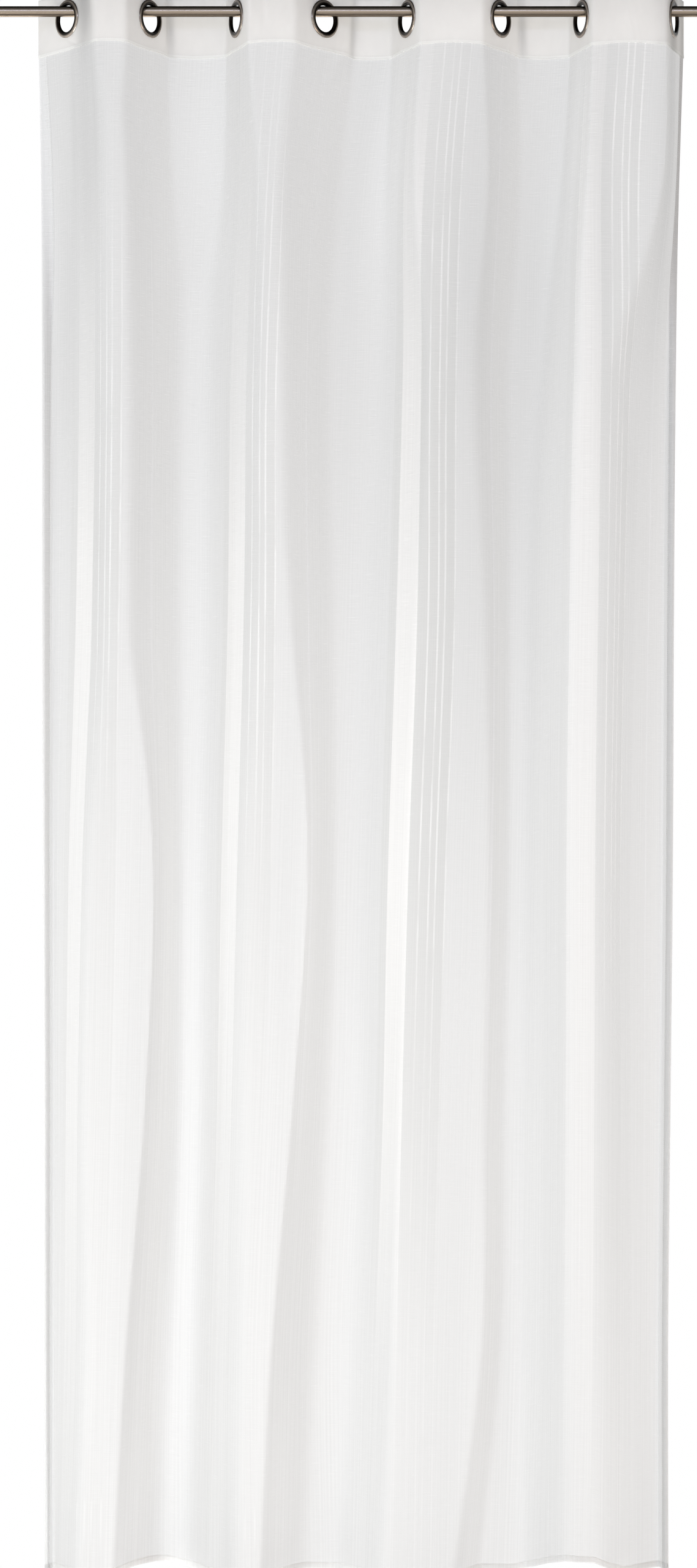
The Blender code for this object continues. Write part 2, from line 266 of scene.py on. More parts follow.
@dataclass(frozen=True)
class FoldPlan:
    """The cloth seen from above, at any drop: flanks left to right, joined by rounded folds.

    Odd flanks come towards the room and even ones go back. The depth of a fold between two flanks
    follows from the length of cloth that has to fit in.

    Attributes:
        levels: The drops at which the tables are read.
        flanks: The flanks, left to right.
        left: Where the cloth's left edge stands along the rod, at each level.
        right: Where its right edge stands.
        curl: How much of the fold's depth an edge turns back to the room.
        foot_forward: How much of an odd flank's half behind is straight.
        foot_back: How much of an even flank's half behind is straight.
        lean: How far the even flanks stand behind the odd ones.
        edge_curl_width: The width over which an edge turns.
        edge_depth: How far back the cloth's edges stand.
        width: The cloth's flat width.
        samples: Points on each stretch of the plan.
        deepest: The deepest fold that is tried.
        halvings: How often the range of depths is halved to fit a fold.
    """

    levels: Values = (0.057, 0.220, 0.545, 0.920, 1.295, 1.670, 2.045, 2.380)
    flanks: tuple[Flank, ...] = (
        Flank(
            (-0.430, -0.412, -0.400, -0.403, -0.418, -0.426, -0.430, -0.440),
            (49, 50, 50, 52, 56, 60, 60, 64),
            (0.069, 0.084, 0.100, 0.104, 0.102, 0.098, 0.096, 0.090),
            (0.70, 0.45, 0.25, 0.20, 0.20, 0.20, 0.20, 0.20),
        ),
        Flank(
            (-0.304, -0.301, -0.293, -0.288, -0.276, -0.284, -0.306, -0.326),
            (57, 56, 56, 58, 68, 64, 62, 60),
            (0.244, 0.255, 0.268, 0.280, 0.294, 0.290, 0.280, 0.262),
            (0.70, 0.50, 0.40, 0.55, 0.75, 0.78, 0.75, 0.65),
        ),
        Flank(
            (-0.171, -0.170, -0.171, -0.176, -0.186, -0.194, -0.203, -0.215),
            (67, 63, 51, 52, 52, 54, 56, 56),
            (0.424, 0.432, 0.457, 0.457, 0.457, 0.457, 0.455, 0.440),
            (0.70, 0.45, 0.25, 0.20, 0.20, 0.20, 0.20, 0.20),
        ),
        Flank(
            (-0.037, -0.050, -0.059, -0.048, -0.040, -0.057, -0.080, -0.099),
            (45, 51, 55, 60, 68, 64, 60, 60),
            (0.604, 0.612, 0.622, 0.640, 0.654, 0.648, 0.640, 0.616),
            (0.70, 0.50, 0.40, 0.55, 0.78, 0.80, 0.78, 0.65),
        ),
        Flank(
            (0.090, 0.086, 0.095, 0.086, 0.073, 0.064, 0.050, 0.018),
            (64, 61, 52, 48, 48, 54, 50, 54),
            (0.779, 0.797, 0.817, 0.817, 0.817, 0.817, 0.812, 0.775),
            (0.70, 0.45, 0.25, 0.20, 0.20, 0.20, 0.20, 0.20),
        ),
        Flank(
            (0.232, 0.231, 0.224, 0.233, 0.235, 0.226, 0.220, 0.188),
            (55, 56, 57, 60, 62, 60, 60, 58),
            (0.964, 0.970, 0.982, 0.992, 1.006, 1.004, 1.005, 0.985),
            (0.70, 0.50, 0.30, 0.25, 0.30, 0.30, 0.30, 0.35),
        ),
        Flank(
            (0.357, 0.353, 0.325, 0.308, 0.300, 0.296, 0.293, 0.286),
            (70, 68, 60, 52, 52, 50, 50, 48),
            (1.139, 1.151, 1.122, 1.110, 1.102, 1.100, 1.100, 1.098),
            (0.70, 0.45, 0.25, 0.20, 0.20, 0.20, 0.20, 0.20),
        ),
        Flank(
            (0.497, 0.494, 0.451, 0.438, 0.432, 0.432, 0.432, 0.432),
            (71, 71, 50, 48, 48, 48, 48, 48),
            (1.331, 1.330, 1.290, 1.288, 1.290, 1.290, 1.290, 1.290),
            (0.70, 0.50, 0.10, 0.05, 0.05, 0.05, 0.05, 0.05),
        ),
    )
    left: Values = (-0.479, -0.476, -0.472, -0.471, -0.470, -0.469, -0.469, -0.467)
    right: Values = (0.518, 0.512, 0.505, 0.502, 0.500, 0.496, 0.492, 0.492)
    curl: Values = (0.0, 0.0, 0.30, 0.40, 0.45, 0.45, 0.45, 0.45)
    foot_forward: Values = (0.70, 0.45, 0.25, 0.20, 0.20, 0.20, 0.20, 0.20)
    foot_back: Values = (0.70, 0.45, 0.20, 0.12, 0.08, 0.05, 0.05, 0.05)
    lean: Values = (0.0, 0.0, 0.012, 0.020, 0.016, 0.012, 0.008, 0.0)
    edge_curl_width: float = 0.018
    edge_depth: float = 0.062
    width: float = 1.400
    samples: int = 161
    deepest: float = 0.100
    halvings: int = 26

    def at_levels(self, values: Values, drops: Array) -> Array:
        """Reads a table at any drop, as a cubic between each two levels with shared slopes.

        Args:
            values: One value for each level.
            drops: The drops to read at.

        Returns:
            A column of values, one row for each drop.
        """
        knots, table = np.array(self.levels), np.array(values, float)
        slopes = np.gradient(table, knots)
        at = np.clip(drops, knots[0], knots[-1])
        low = np.clip(np.searchsorted(knots, at) - 1, 0, len(knots) - 2)
        span = knots[low + 1] - knots[low]
        t = (at - knots[low]) / span
        read = (
            table[low] * (1 + 2 * t) * (1 - t) ** 2
            + table[low + 1] * t**2 * (3 - 2 * t)
            + span * slopes[low] * t * (1 - t) ** 2
            - span * slopes[low + 1] * t**2 * (1 - t)
        )
        return read[:, None]

    @staticmethod
    def ramp(t: Array, crisp: Array | float) -> Array:
        """From -1 to 1 over t = -1 to 1: straight in the middle, rounded off by half a cosine.

        Args:
            t: Where to read, with 0 in the middle.
            crisp: How much of the way is straight.

        Returns:
            The height of the ramp at each t.
        """
        reach = np.clip(np.abs(t), 0.0, 1.0)
        rest = 1.0 - crisp
        wave = np.sin(math.pi * (reach - crisp) / rest)
        rounded = crisp + (reach - crisp) / 2 + rest / (2 * math.pi) * wave
        return np.sign(t) * np.where(reach < crisp, reach, rounded) * 2 / (1 + crisp)

    @staticmethod
    def run_out(depth: Array | float, angle: Array, crisp: Array) -> Array:
        """How far along the rod a flank takes from its middle to the depth of its fold.

        Args:
            depth: The depth between the flank's middle and the fold's.
            angle: The flank's steepness in degrees.
            crisp: How much of the flank is straight.

        Returns:
            The distance, a little over nothing at the least.
        """
        return np.maximum(2 * np.abs(depth) / ((1 + crisp) * np.tan(np.radians(angle))), 1e-6)

    def fold_line(
        self, start: dict[str, Array], end: dict[str, Array], depth: Array, turn: str
    ) -> Pair:
        """The plan between the middles of two flanks, for folds as deep as given.

        Where both flanks don't fit side by side, both turn steeper until they meet.

        Args:
            start: The left flank's values, a column each.
            end: The right flank's values.
            depth: The depth of the fold in each row, below zero towards the room.
            turn: "crest" for a fold towards the room, "foot" for one to the back.

        Returns:
            x and y, one row of points for each drop.
        """
        share = np.linspace(0.0, 1.0, self.samples)[None, :]
        distance = end["across"] - start["across"]
        x = start["across"] + distance * share
        rise, fall = depth - start["stand"], depth - end["stand"]
        out = self.run_out(rise, start["angle"], start[turn])
        home = self.run_out(fall, end["angle"], end[turn])
        fit = np.minimum(distance / (out + home), 1.0)
        up = rise * self.ramp((x - x[:, :1]) / (out * fit), start[turn])
        down = fall * self.ramp((x[:, -1:] - x) / (home * fit), end[turn])
        return x, start["stand"] + up + down - fall

    def margin_line(self, flank: dict[str, Array], edge: Array, curl: Array) -> Pair:
        """The plan from a flank's middle out to a free edge, which curls back to the room.

        Args:
            flank: The outermost flank's values.
            edge: Where the cloth ends along the rod.
            curl: How much of the depth the edge turns back.

        Returns:
            x and y, one row of points for each drop, going outwards.
        """
        share = np.linspace(0.0, 1.0, self.samples)[None, :]
        x = flank["across"] + (edge - flank["across"]) * share
        away = np.abs(x - x[:, :1])
        run = self.run_out(self.edge_depth, flank["angle"], flank["foot"])
        y = flank["stand"] + self.edge_depth * self.ramp(away / run, flank["foot"])
        along = 2 * (away - away[:, -1:]) / self.edge_curl_width + 1
        return x, y - curl * self.edge_depth * (1 + self.ramp(along, 0.0)) / 2

    @staticmethod
    def lengths(x: Array, y: Array) -> Array:
        """The distance along each row's line, from its start to each of its points."""
        steps = np.hypot(np.diff(x, axis=1), np.diff(y, axis=1))
        return np.hstack([np.zeros((len(x), 1)), np.cumsum(steps, axis=1)])

    def fitted_fold(self, start: dict[str, Array], end: dict[str, Array], side: int) -> Pair:
        """The plan of a fold that is as deep as its length of cloth makes it, found by halving.

        Args:
            start: The left flank's values.
            end: The right flank's values.
            side: -1 for a fold to the room, 1 for one to the back.

        Returns:
            x and y, one row of points for each drop.
        """
        cloth = end["thread"] - start["thread"]
        shallow, deep = np.zeros_like(cloth), np.full_like(cloth, self.deepest)
        for _ in range(self.halvings):
            depth = (shallow + deep) / 2
            x, y = self.fold_line(start, end, side * depth, "crest" if side < 0 else "foot")
            short = self.lengths(x, y)[:, -1:] < cloth
            shallow = np.where(short, depth, shallow)
            deep = np.where(short, deep, depth)
        return x, y

    def lines(self, drops: Array) -> Trio:
        """The whole plan at each drop, as a line of many points.

        Args:
            drops: The drops to draw it at.

        Returns:
            Thread, x and y, one row for each drop.
        """
        rows = []
        for number, flank in enumerate(self.flanks, start=1):
            forward = number % 2 == 1
            row = {name: self.at_levels(values, drops) for name, values in vars(flank).items()}
            row["foot"] = self.at_levels(self.foot_forward if forward else self.foot_back, drops)
            row["stand"] = (-0.5 if forward else 0.5) * self.at_levels(self.lean, drops)
            rows.append(row)

        curl = self.at_levels(self.curl, drops)
        x, y = self.margin_line(rows[0], self.at_levels(self.left, drops), curl)
        stretches = [(x[:, ::-1], y[:, ::-1], np.zeros_like(curl), rows[0]["thread"])]
        for number in range(1, len(rows)):
            start, end = rows[number - 1], rows[number]
            x, y = self.fitted_fold(start, end, -1 if number % 2 == 1 else 1)
            stretches.append((x, y, start["thread"], end["thread"]))
        x, y = self.margin_line(rows[-1], self.at_levels(self.right, drops), curl)
        stretches.append((x, y, rows[-1]["thread"], np.full_like(curl, self.width)))

        line_x, line_y, line_thread = [], [], []
        for x, y, first, last in stretches:
            along = self.lengths(x, y)
            line_x.append(x)
            line_y.append(y)
            line_thread.append(first + (last - first) * along / along[:, -1:])
        return np.hstack(line_thread), np.hstack(line_x), np.hstack(line_y)

    @staticmethod
    def read(lines: Trio, threads: Array) -> Pair:
        """Where threads stand on the lines of a plan.

        Args:
            lines: Thread, x and y, one row for each drop.
            threads: The threads to place.

        Returns:
            x and y, one row for each drop and one column for each thread.
        """
        return tuple(
            np.array([np.interp(threads, along, row) for along, row in zip(lines[0], rows)])
            for rows in lines[1:]
        )


@dataclass(frozen=True)
class PuckerOrPaintedShade:
    """A small soft ridge the sewing or an eyelet pulls into the cloth, or a painted shade patch.

    Attributes:
        thread: The thread at its middle.
        drop: The drop at its middle.
        turn: Its slant against the vertical, in degrees.
        reach: Half its length.
        spread: Half its width.
        height: How far it stands out towards the room.
    """

    thread: float
    drop: float
    turn: float
    reach: float
    # height: How far it stands out towards the room; for painted shade, the share     of light it takes.
    spread: float
    height: float

    def rise(self, threads: Array, drops: Array) -> Array:
        """The ridge's lift, or its painted shade: a bell curve across it and along it."""
        turn = math.radians(self.turn)
        side, down = threads - self.thread, drops - self.drop
        along = down * math.cos(turn) + side * math.sin(turn)
        across = side * math.cos(turn) - down * math.sin(turn)
        return self.height * np.exp(-((along / self.reach) ** 2) - (across / self.spread) ** 2)


@dataclass(frozen=True)
class HungCloth:
    """The whole cloth as it hangs, heading and panel, as one surface over thread and drop.

    Attributes:
        plan: The folds.
        heading_drop: The drop of the heading's lower edge.
        hem_drops: The drop of the lower edge, by thread.
        puckers: The small ridges on it.
        sag: How much lower the seam under the heading hangs than a straight one.
        swing: How much that sag grows in the folds to the back, and shrinks in the others.
        sag_end: The drop at which the cloth hangs straight again.
        painted_crease_shade: Painted crease shadows, and painted shade on the right edge, in the
            heading as in the panel. Their height is the share of their light that they lose.
        painted_shades: Painted shade in the panel alone, and painted light where below zero.
        near: How far to either side of a thread the cloth's direction is measured.
    """

    plan: FoldPlan = FoldPlan()
    heading_drop: float = 0.057
    hem_drops: tuple[tuple[float, float], ...] = (
        (0.000, 2.391), (0.070, 2.386), (0.160, 2.381), (0.260, 2.378), (0.310, 2.382),
        (0.335, 2.384), (0.371, 2.391), (0.520, 2.386), (0.700, 2.393), (0.880, 2.388),
        (1.060, 2.389), (1.093, 2.380), (1.130, 2.368), (1.164, 2.360), (1.208, 2.362),
        (1.235, 2.374), (1.280, 2.387), (1.400, 2.391),
    )
    puckers: tuple[PuckerOrPaintedShade, ...] = (
        PuckerOrPaintedShade(0.083, 0.052, 62, 0.016, 0.0035, 0.0016),
        PuckerOrPaintedShade(0.094, 0.057, 74, 0.014, 0.0030, 0.0014),
        PuckerOrPaintedShade(0.112, 0.060, 40, 0.018, 0.0060, 0.0018),
        PuckerOrPaintedShade(0.262, 0.062, -50, 0.020, 0.0050, 0.0014),
        PuckerOrPaintedShade(0.412, 0.060, 55, 0.018, 0.0045, 0.0014),
        PuckerOrPaintedShade(0.640, 0.066, -30, 0.030, 0.0060, 0.0018),
        PuckerOrPaintedShade(0.765, 0.060, 48, 0.018, 0.0040, 0.0012),
        PuckerOrPaintedShade(0.978, 0.062, -38, 0.020, 0.0035, 0.0020),
        PuckerOrPaintedShade(0.990, 0.066, -55, 0.016, 0.0035, 0.0018),
        PuckerOrPaintedShade(1.160, 0.064, 40, 0.020, 0.0050, 0.0018),
        PuckerOrPaintedShade(1.176, 0.070, 20, 0.024, 0.0040, 0.0012),
        PuckerOrPaintedShade(1.300, 0.074, -20, 0.030, 0.0050, 0.0014),
        PuckerOrPaintedShade(0.122, 0.010, 3, 0.060, 0.0100, -0.0030),
        PuckerOrPaintedShade(0.292, 0.014, 3, 0.045, 0.0055, -0.0028),
        PuckerOrPaintedShade(0.495, 0.010, -2, 0.030, 0.0030, -0.0010),
        PuckerOrPaintedShade(0.668, 0.014, -3, 0.045, 0.0060, -0.0028),
        PuckerOrPaintedShade(1.019, 0.014, 3, 0.045, 0.0055, -0.0028),
        PuckerOrPaintedShade(1.235, 0.020, 12, 0.030, 0.0022, 0.0008),
        PuckerOrPaintedShade(1.246, 0.024, 8, 0.026, 0.0020, 0.0007),
    )
    sag: float = 2.5 * MM
    swing: float = 4.5 * MM
    sag_end: float = 0.50
    painted_crease_shade: tuple[PuckerOrPaintedShade, ...] = (
        # Painted shadows of the heading's crease lines, which run on into the panel.
        PuckerOrPaintedShade(0.110, -0.005, 3, 0.075, 0.0170, 0.28),
        PuckerOrPaintedShade(0.294, 0.012, 3, 0.060, 0.0065, 0.17),
        PuckerOrPaintedShade(0.668, 0.012, -3, 0.050, 0.0065, 0.15),
        PuckerOrPaintedShade(1.021, 0.014, 3, 0.050, 0.0065, 0.17),
        # Painted shade on the right edge, turned away from the lamps.
        PuckerOrPaintedShade(1.328, 0.050, 0, 0.400, 0.0350, 0.26),
        PuckerOrPaintedShade(1.392, 0.050, 0, 0.650, 0.0200, 0.22),
    )
    painted_shades: tuple[PuckerOrPaintedShade, ...] = (
        # Painted shadow of the first fold, with a sharper line on either side.
        PuckerOrPaintedShade(0.105, 0.160, 0, 0.220, 0.0350, 0.18),
        PuckerOrPaintedShade(0.074, 0.180, -3, 0.150, 0.0060, 0.06),
        PuckerOrPaintedShade(0.130, 0.160, 1, 0.130, 0.0060, 0.06),
        PuckerOrPaintedShade(0.120, 0.500, 0, 0.350, 0.0900, 0.04),
        # Painted shade on the third fold, a little flatter than the others, and to its right.
        PuckerOrPaintedShade(0.930, 0.600, 0, 0.850, 0.0900, 0.15),
        PuckerOrPaintedShade(1.040, 0.600, 0, 0.300, 0.0400, 0.08),
        PuckerOrPaintedShade(0.890, 1.900, 0, 0.900, 0.0700, 0.06),
        PuckerOrPaintedShade(1.260, 0.400, 0, 0.600, 0.0600, 0.07),
        PuckerOrPaintedShade(1.175, 1.900, 0, 0.800, 0.0450, 0.06),
        # Painted shade on single folds.
        PuckerOrPaintedShade(0.700, 0.600, 0, 0.300, 0.0700, 0.07),
        PuckerOrPaintedShade(0.692, 0.220, 0, 0.300, 0.0250, 0.05),
        PuckerOrPaintedShade(0.052, 0.460, 0, 0.250, 0.0300, 0.09),
        PuckerOrPaintedShade(0.515, 0.420, 0, 0.200, 0.0200, 0.06),
        PuckerOrPaintedShade(0.925, 0.420, 0, 0.200, 0.0300, 0.05),
        PuckerOrPaintedShade(1.060, 0.420, 0, 0.200, 0.0300, 0.08),
        PuckerOrPaintedShade(1.205, 0.380, 0, 0.350, 0.0180, 0.10),
        PuckerOrPaintedShade(0.225, 1.750, 0, 0.500, 0.0350, 0.07),
        PuckerOrPaintedShade(0.565, 1.400, 0, 0.350, 0.0300, 0.06),
        PuckerOrPaintedShade(0.495, 2.420, 0, 0.150, 0.0200, 0.08),
        PuckerOrPaintedShade(0.935, 2.100, 0, 0.500, 0.0350, 0.05),
        PuckerOrPaintedShade(1.035, 2.100, 0, 0.450, 0.0300, 0.06),
        # Painted light, below zero, where the light comes through from behind.
        PuckerOrPaintedShade(0.360, 0.200, 0, 0.250, 0.0500, -0.06),
        PuckerOrPaintedShade(0.765, 0.220, 0, 0.180, 0.0400, -0.11),
        PuckerOrPaintedShade(1.140, 0.180, 0, 0.170, 0.0300, -0.10),
        PuckerOrPaintedShade(0.370, 1.600, 0, 1.100, 0.0450, -0.11),
        PuckerOrPaintedShade(0.300, 1.450, 0, 0.350, 0.0300, -0.06),
        PuckerOrPaintedShade(0.610, 1.400, 0, 0.350, 0.0300, -0.07),
        PuckerOrPaintedShade(0.310, 2.080, 0, 0.220, 0.0200, -0.06),
        PuckerOrPaintedShade(0.335, 2.180, 0, 0.200, 0.0200, -0.06),
        PuckerOrPaintedShade(0.215, 2.420, 0, 0.150, 0.0200, -0.08),
        PuckerOrPaintedShade(0.450, 1.420, 0, 0.450, 0.4500, -0.035),
        PuckerOrPaintedShade(0.260, 2.000, 0, 0.400, 0.0500, -0.05),
        PuckerOrPaintedShade(0.255, 2.380, 0, 0.240, 0.0500, -0.10),
        PuckerOrPaintedShade(0.600, 2.380, 0, 0.280, 0.0500, -0.12),
        PuckerOrPaintedShade(0.765, 2.380, 0, 0.240, 0.0400, -0.06),
        PuckerOrPaintedShade(0.970, 2.380, 0, 0.240, 0.0400, -0.10),
        PuckerOrPaintedShade(1.265, 2.300, 0, 0.350, 0.0500, -0.10),
    )
    near: float = 0.5 * MM

    def hem_drop(self, threads: Array) -> Array:
        """The drop of the lower edge at each thread."""
        return np.interp(threads, *np.array(self.hem_drops).T)

    def lowered(self, threads: Array, drops: Array) -> Array:
        """How much lower each point hangs than its drop.

        At the seam it is sag - swing * sin(phase)^3, where the phase grows by half a turn from one
        eyelet to the next. It fades out in a straight line to the top and to the sag's end.

        Args:
            threads: The threads.
            drops: The drops.

        Returns:
            A distance downwards for each point.
        """
        starts = [flank.thread[0] for flank in self.plan.flanks]
        phase = np.interp(threads, starts, math.pi * np.arange(len(starts)))
        at_seam = self.sag - self.swing * np.sin(phase) ** 3
        return at_seam * np.interp(drops, (0.0, self.heading_drop, self.sag_end), (0.0, 1.0, 0.0))

    @staticmethod
    def shade(painted_shades: tuple[PuckerOrPaintedShade, ...], threads: Array, drops: Array) -> Array:
        """The share of its light that each point loses to some painted shade patches."""
        return sum(shade.rise(threads, drops) for shade in painted_shades)

    def surface(self, threads: Array, shares: Array) -> Trio:
        """The cloth's own points, with the directions across it and out of its back.

        Args:
            threads: The threads.
            shares: Shares of the way from the heading down to the hem, below zero above that.

        Returns:
            Points, unit vectors along the plan to the right, and unit vectors out of the back.
        """
        mean = float(self.hem_drop(np.linspace(0.0, self.plan.width, 201)).mean())
        lines = self.plan.lines(self.heading_drop + shares * (mean - self.heading_drop))
        x, y = self.plan.read(lines, threads)
        left_x, left_y = self.plan.read(lines, threads - self.near)
        right_x, right_y = self.plan.read(lines, threads + self.near)
        flat = np.zeros_like(x)
        across = unit(np.stack([right_x - left_x, right_y - left_y, flat], axis=-1))
        back = np.stack([-across[..., 1], across[..., 0], flat], axis=-1)
        drop = self.heading_drop + shares[:, None] * (self.hem_drop(threads) - self.heading_drop)
        points = np.stack([x, y, -drop - self.lowered(threads[None, :], drop)], axis=-1)
        rise = sum(pucker.rise(threads[None, :], drop) for pucker in self.puckers)
        return points - back * rise[..., None], across, back


# ---- Finishes ----


class Slot(Enum):
    """The record's material slots."""

    VOILE = "voile"
    HEADING = "heading"
    EYELET = "eyelet_metal"
    ROD = "rod_metal"


# The mesh mark that holds painted shade: the share of light a point loses, in its colour.
SHADE = "Shade"


class Yarn(Enum):
    """The kinds of warp stripe. Each stands out over its own stretch of the drop."""

    STRIPE = "Stripes"
    CORD = "Cords"


def stretched_noise(tree: Tree, place: Node, size: Point, detail: float, **settings) -> Node:
    """Noise whose grain has a size of its own along each axis.

    Args:
        tree: The node tree.
        place: What gives the place to read at.
        size: The grain's size along each axis, in metres.
        detail: How many times finer noise is laid over it.
        **settings: The noise node's own properties.

    Returns:
        The noise.
    """
    scale = tuple(1 / way for way in size)
    drawn = add_node(tree, "Mapping", {"Vector": place, "Scale": scale})
    look = {"Vector": drawn, "Scale": 1.0, "Detail": detail}
    return add_node(tree, "TexNoise", look, **settings)


def plain_weave(tree: Tree, place: Node, pitch: float) -> Node:
    """The height of a plain weave: the product of a sine across the cloth and one down it.

    Args:
        tree: The node tree.
        place: What gives the thread and the drop.
        pitch: The distance of the threads.

    Returns:
        The product, from -1 to 1.
    """
    waves = []
    for way in add_node(tree, "SeparateXYZ", {0: place}).outputs[:2]:
        turn = add_node(tree, "Math", {0: way, 1: 2 * math.pi / pitch}, operation="MULTIPLY")
        waves.append(add_node(tree, "Math", {0: turn}, operation="SINE"))
    return add_node(tree, "Math", {0: waves[0], 1: waves[1]}, operation="MULTIPLY")


def shaded(tree: Tree, colour: Socket, brightness: Node) -> Node:
    """A colour at some brightness, less the painted shade that the mesh's mark gives there.

    Args:
        tree: The node tree.
        colour: The colour.
        brightness: How bright it is, around one.

    Returns:
        The darker or brighter colour.
    """
    lost = add_node(tree, "Attribute", attribute_name=SHADE).outputs["Fac"]
    kept = add_node(tree, "Math", {0: brightness, 1: lost}, operation="SUBTRACT")
    return add_node(tree, "VectorMath", {0: colour, "Scale": kept}, operation="SCALE")


def lit_yarn(tree: Tree, colour: Node, relief: dict, roughness: float, glow: Node | float) -> Node:
    """Yarn that throws some light back and lets the rest out on its other side.

    Args:
        tree: The node tree.
        colour: The yarn's colour.
        relief: The inputs of its bump.
        roughness: Its roughness.
        glow: The share of light that comes through.

    Returns:
        The shader.
    """
    bump = add_node(tree, "Bump", relief)
    front = {"Base Color": colour, "Roughness": roughness, "Normal": bump}
    yarn = add_node(tree, "BsdfPrincipled", front)
    through = add_node(tree, "BsdfTranslucent", {"Color": colour, "Normal": bump})
    return add_node(tree, "MixShader", {0: glow, 1: yarn, 2: through})


@dataclass(frozen=True)
class Band:
    """A stripe of other yarn in the cloth, in each repeat of the pattern.

    Attributes:
        name: What a weaver would call it.
        yarn: The kind of stripe.
        centre: Its middle, measured from the middle of the repeat's four fine cords.
        width: Its width.
        edge: The width over which it fades into its neighbour.
        cover: How much of the view its yarns close.
        colour: The colour of its yarn.
    """

    name: str
    yarn: Yarn
    centre: float
    width: float
    edge: float
    cover: float
    colour: str


@dataclass(frozen=True)
class Fading:
    """How strongly one repeat's stripes stand out over the drop.

    Attributes:
        drops: The drops at which the strength is given.
        strengths: The strength at each of them, from 0 to 1.
    """

    drops: Values
    strengths: Values

    def at(self, drops: Array) -> Array:
        """The strength at any drop, in a straight line between the given ones."""
        return np.interp(drops, self.drops, self.strengths)


STRIPE_FADINGS = (
    Fading((0.30, 0.55, 0.83, 1.30, 1.70, 2.10), (0.05, 0.35, 0.80, 0.45, 0.30, 0.05)),
    Fading((0.30, 0.55, 0.83, 1.30, 1.70, 2.00), (0.10, 0.35, 0.80, 0.55, 0.20, 0.05)),
    Fading((0.10, 0.30, 0.60, 1.30, 1.70, 2.10), (0.20, 0.60, 1.00, 0.95, 0.60, 0.05)),
    Fading((0.10, 0.30, 0.60, 1.30, 1.70, 2.30), (0.30, 0.55, 0.55, 0.50, 0.30, 0.05)),
)
CORD_FADINGS = (
    Fading(
        (0.20, 0.35, 0.50, 0.85, 1.25, 2.27, 2.29, 2.33, 2.36),
        (0.05, 0.20, 0.80, 0.75, 0.00, 0.00, 0.20, 0.15, 0.00),
    ),
    Fading(
        (0.10, 0.30, 0.50, 1.00, 1.35, 2.28, 2.30, 2.33, 2.35),
        (0.15, 0.60, 0.80, 0.70, 0.00, 0.00, 0.15, 0.12, 0.00),
    ),
    Fading((0.06, 0.20, 1.30, 1.60, 1.90, 2.30), (0.60, 0.80, 0.70, 0.20, 0.10, 0.15)),
    Fading((0.06, 0.15, 0.60, 1.30, 1.60, 2.30), (0.80, 1.00, 0.80, 0.60, 0.05, 0.05)),
)


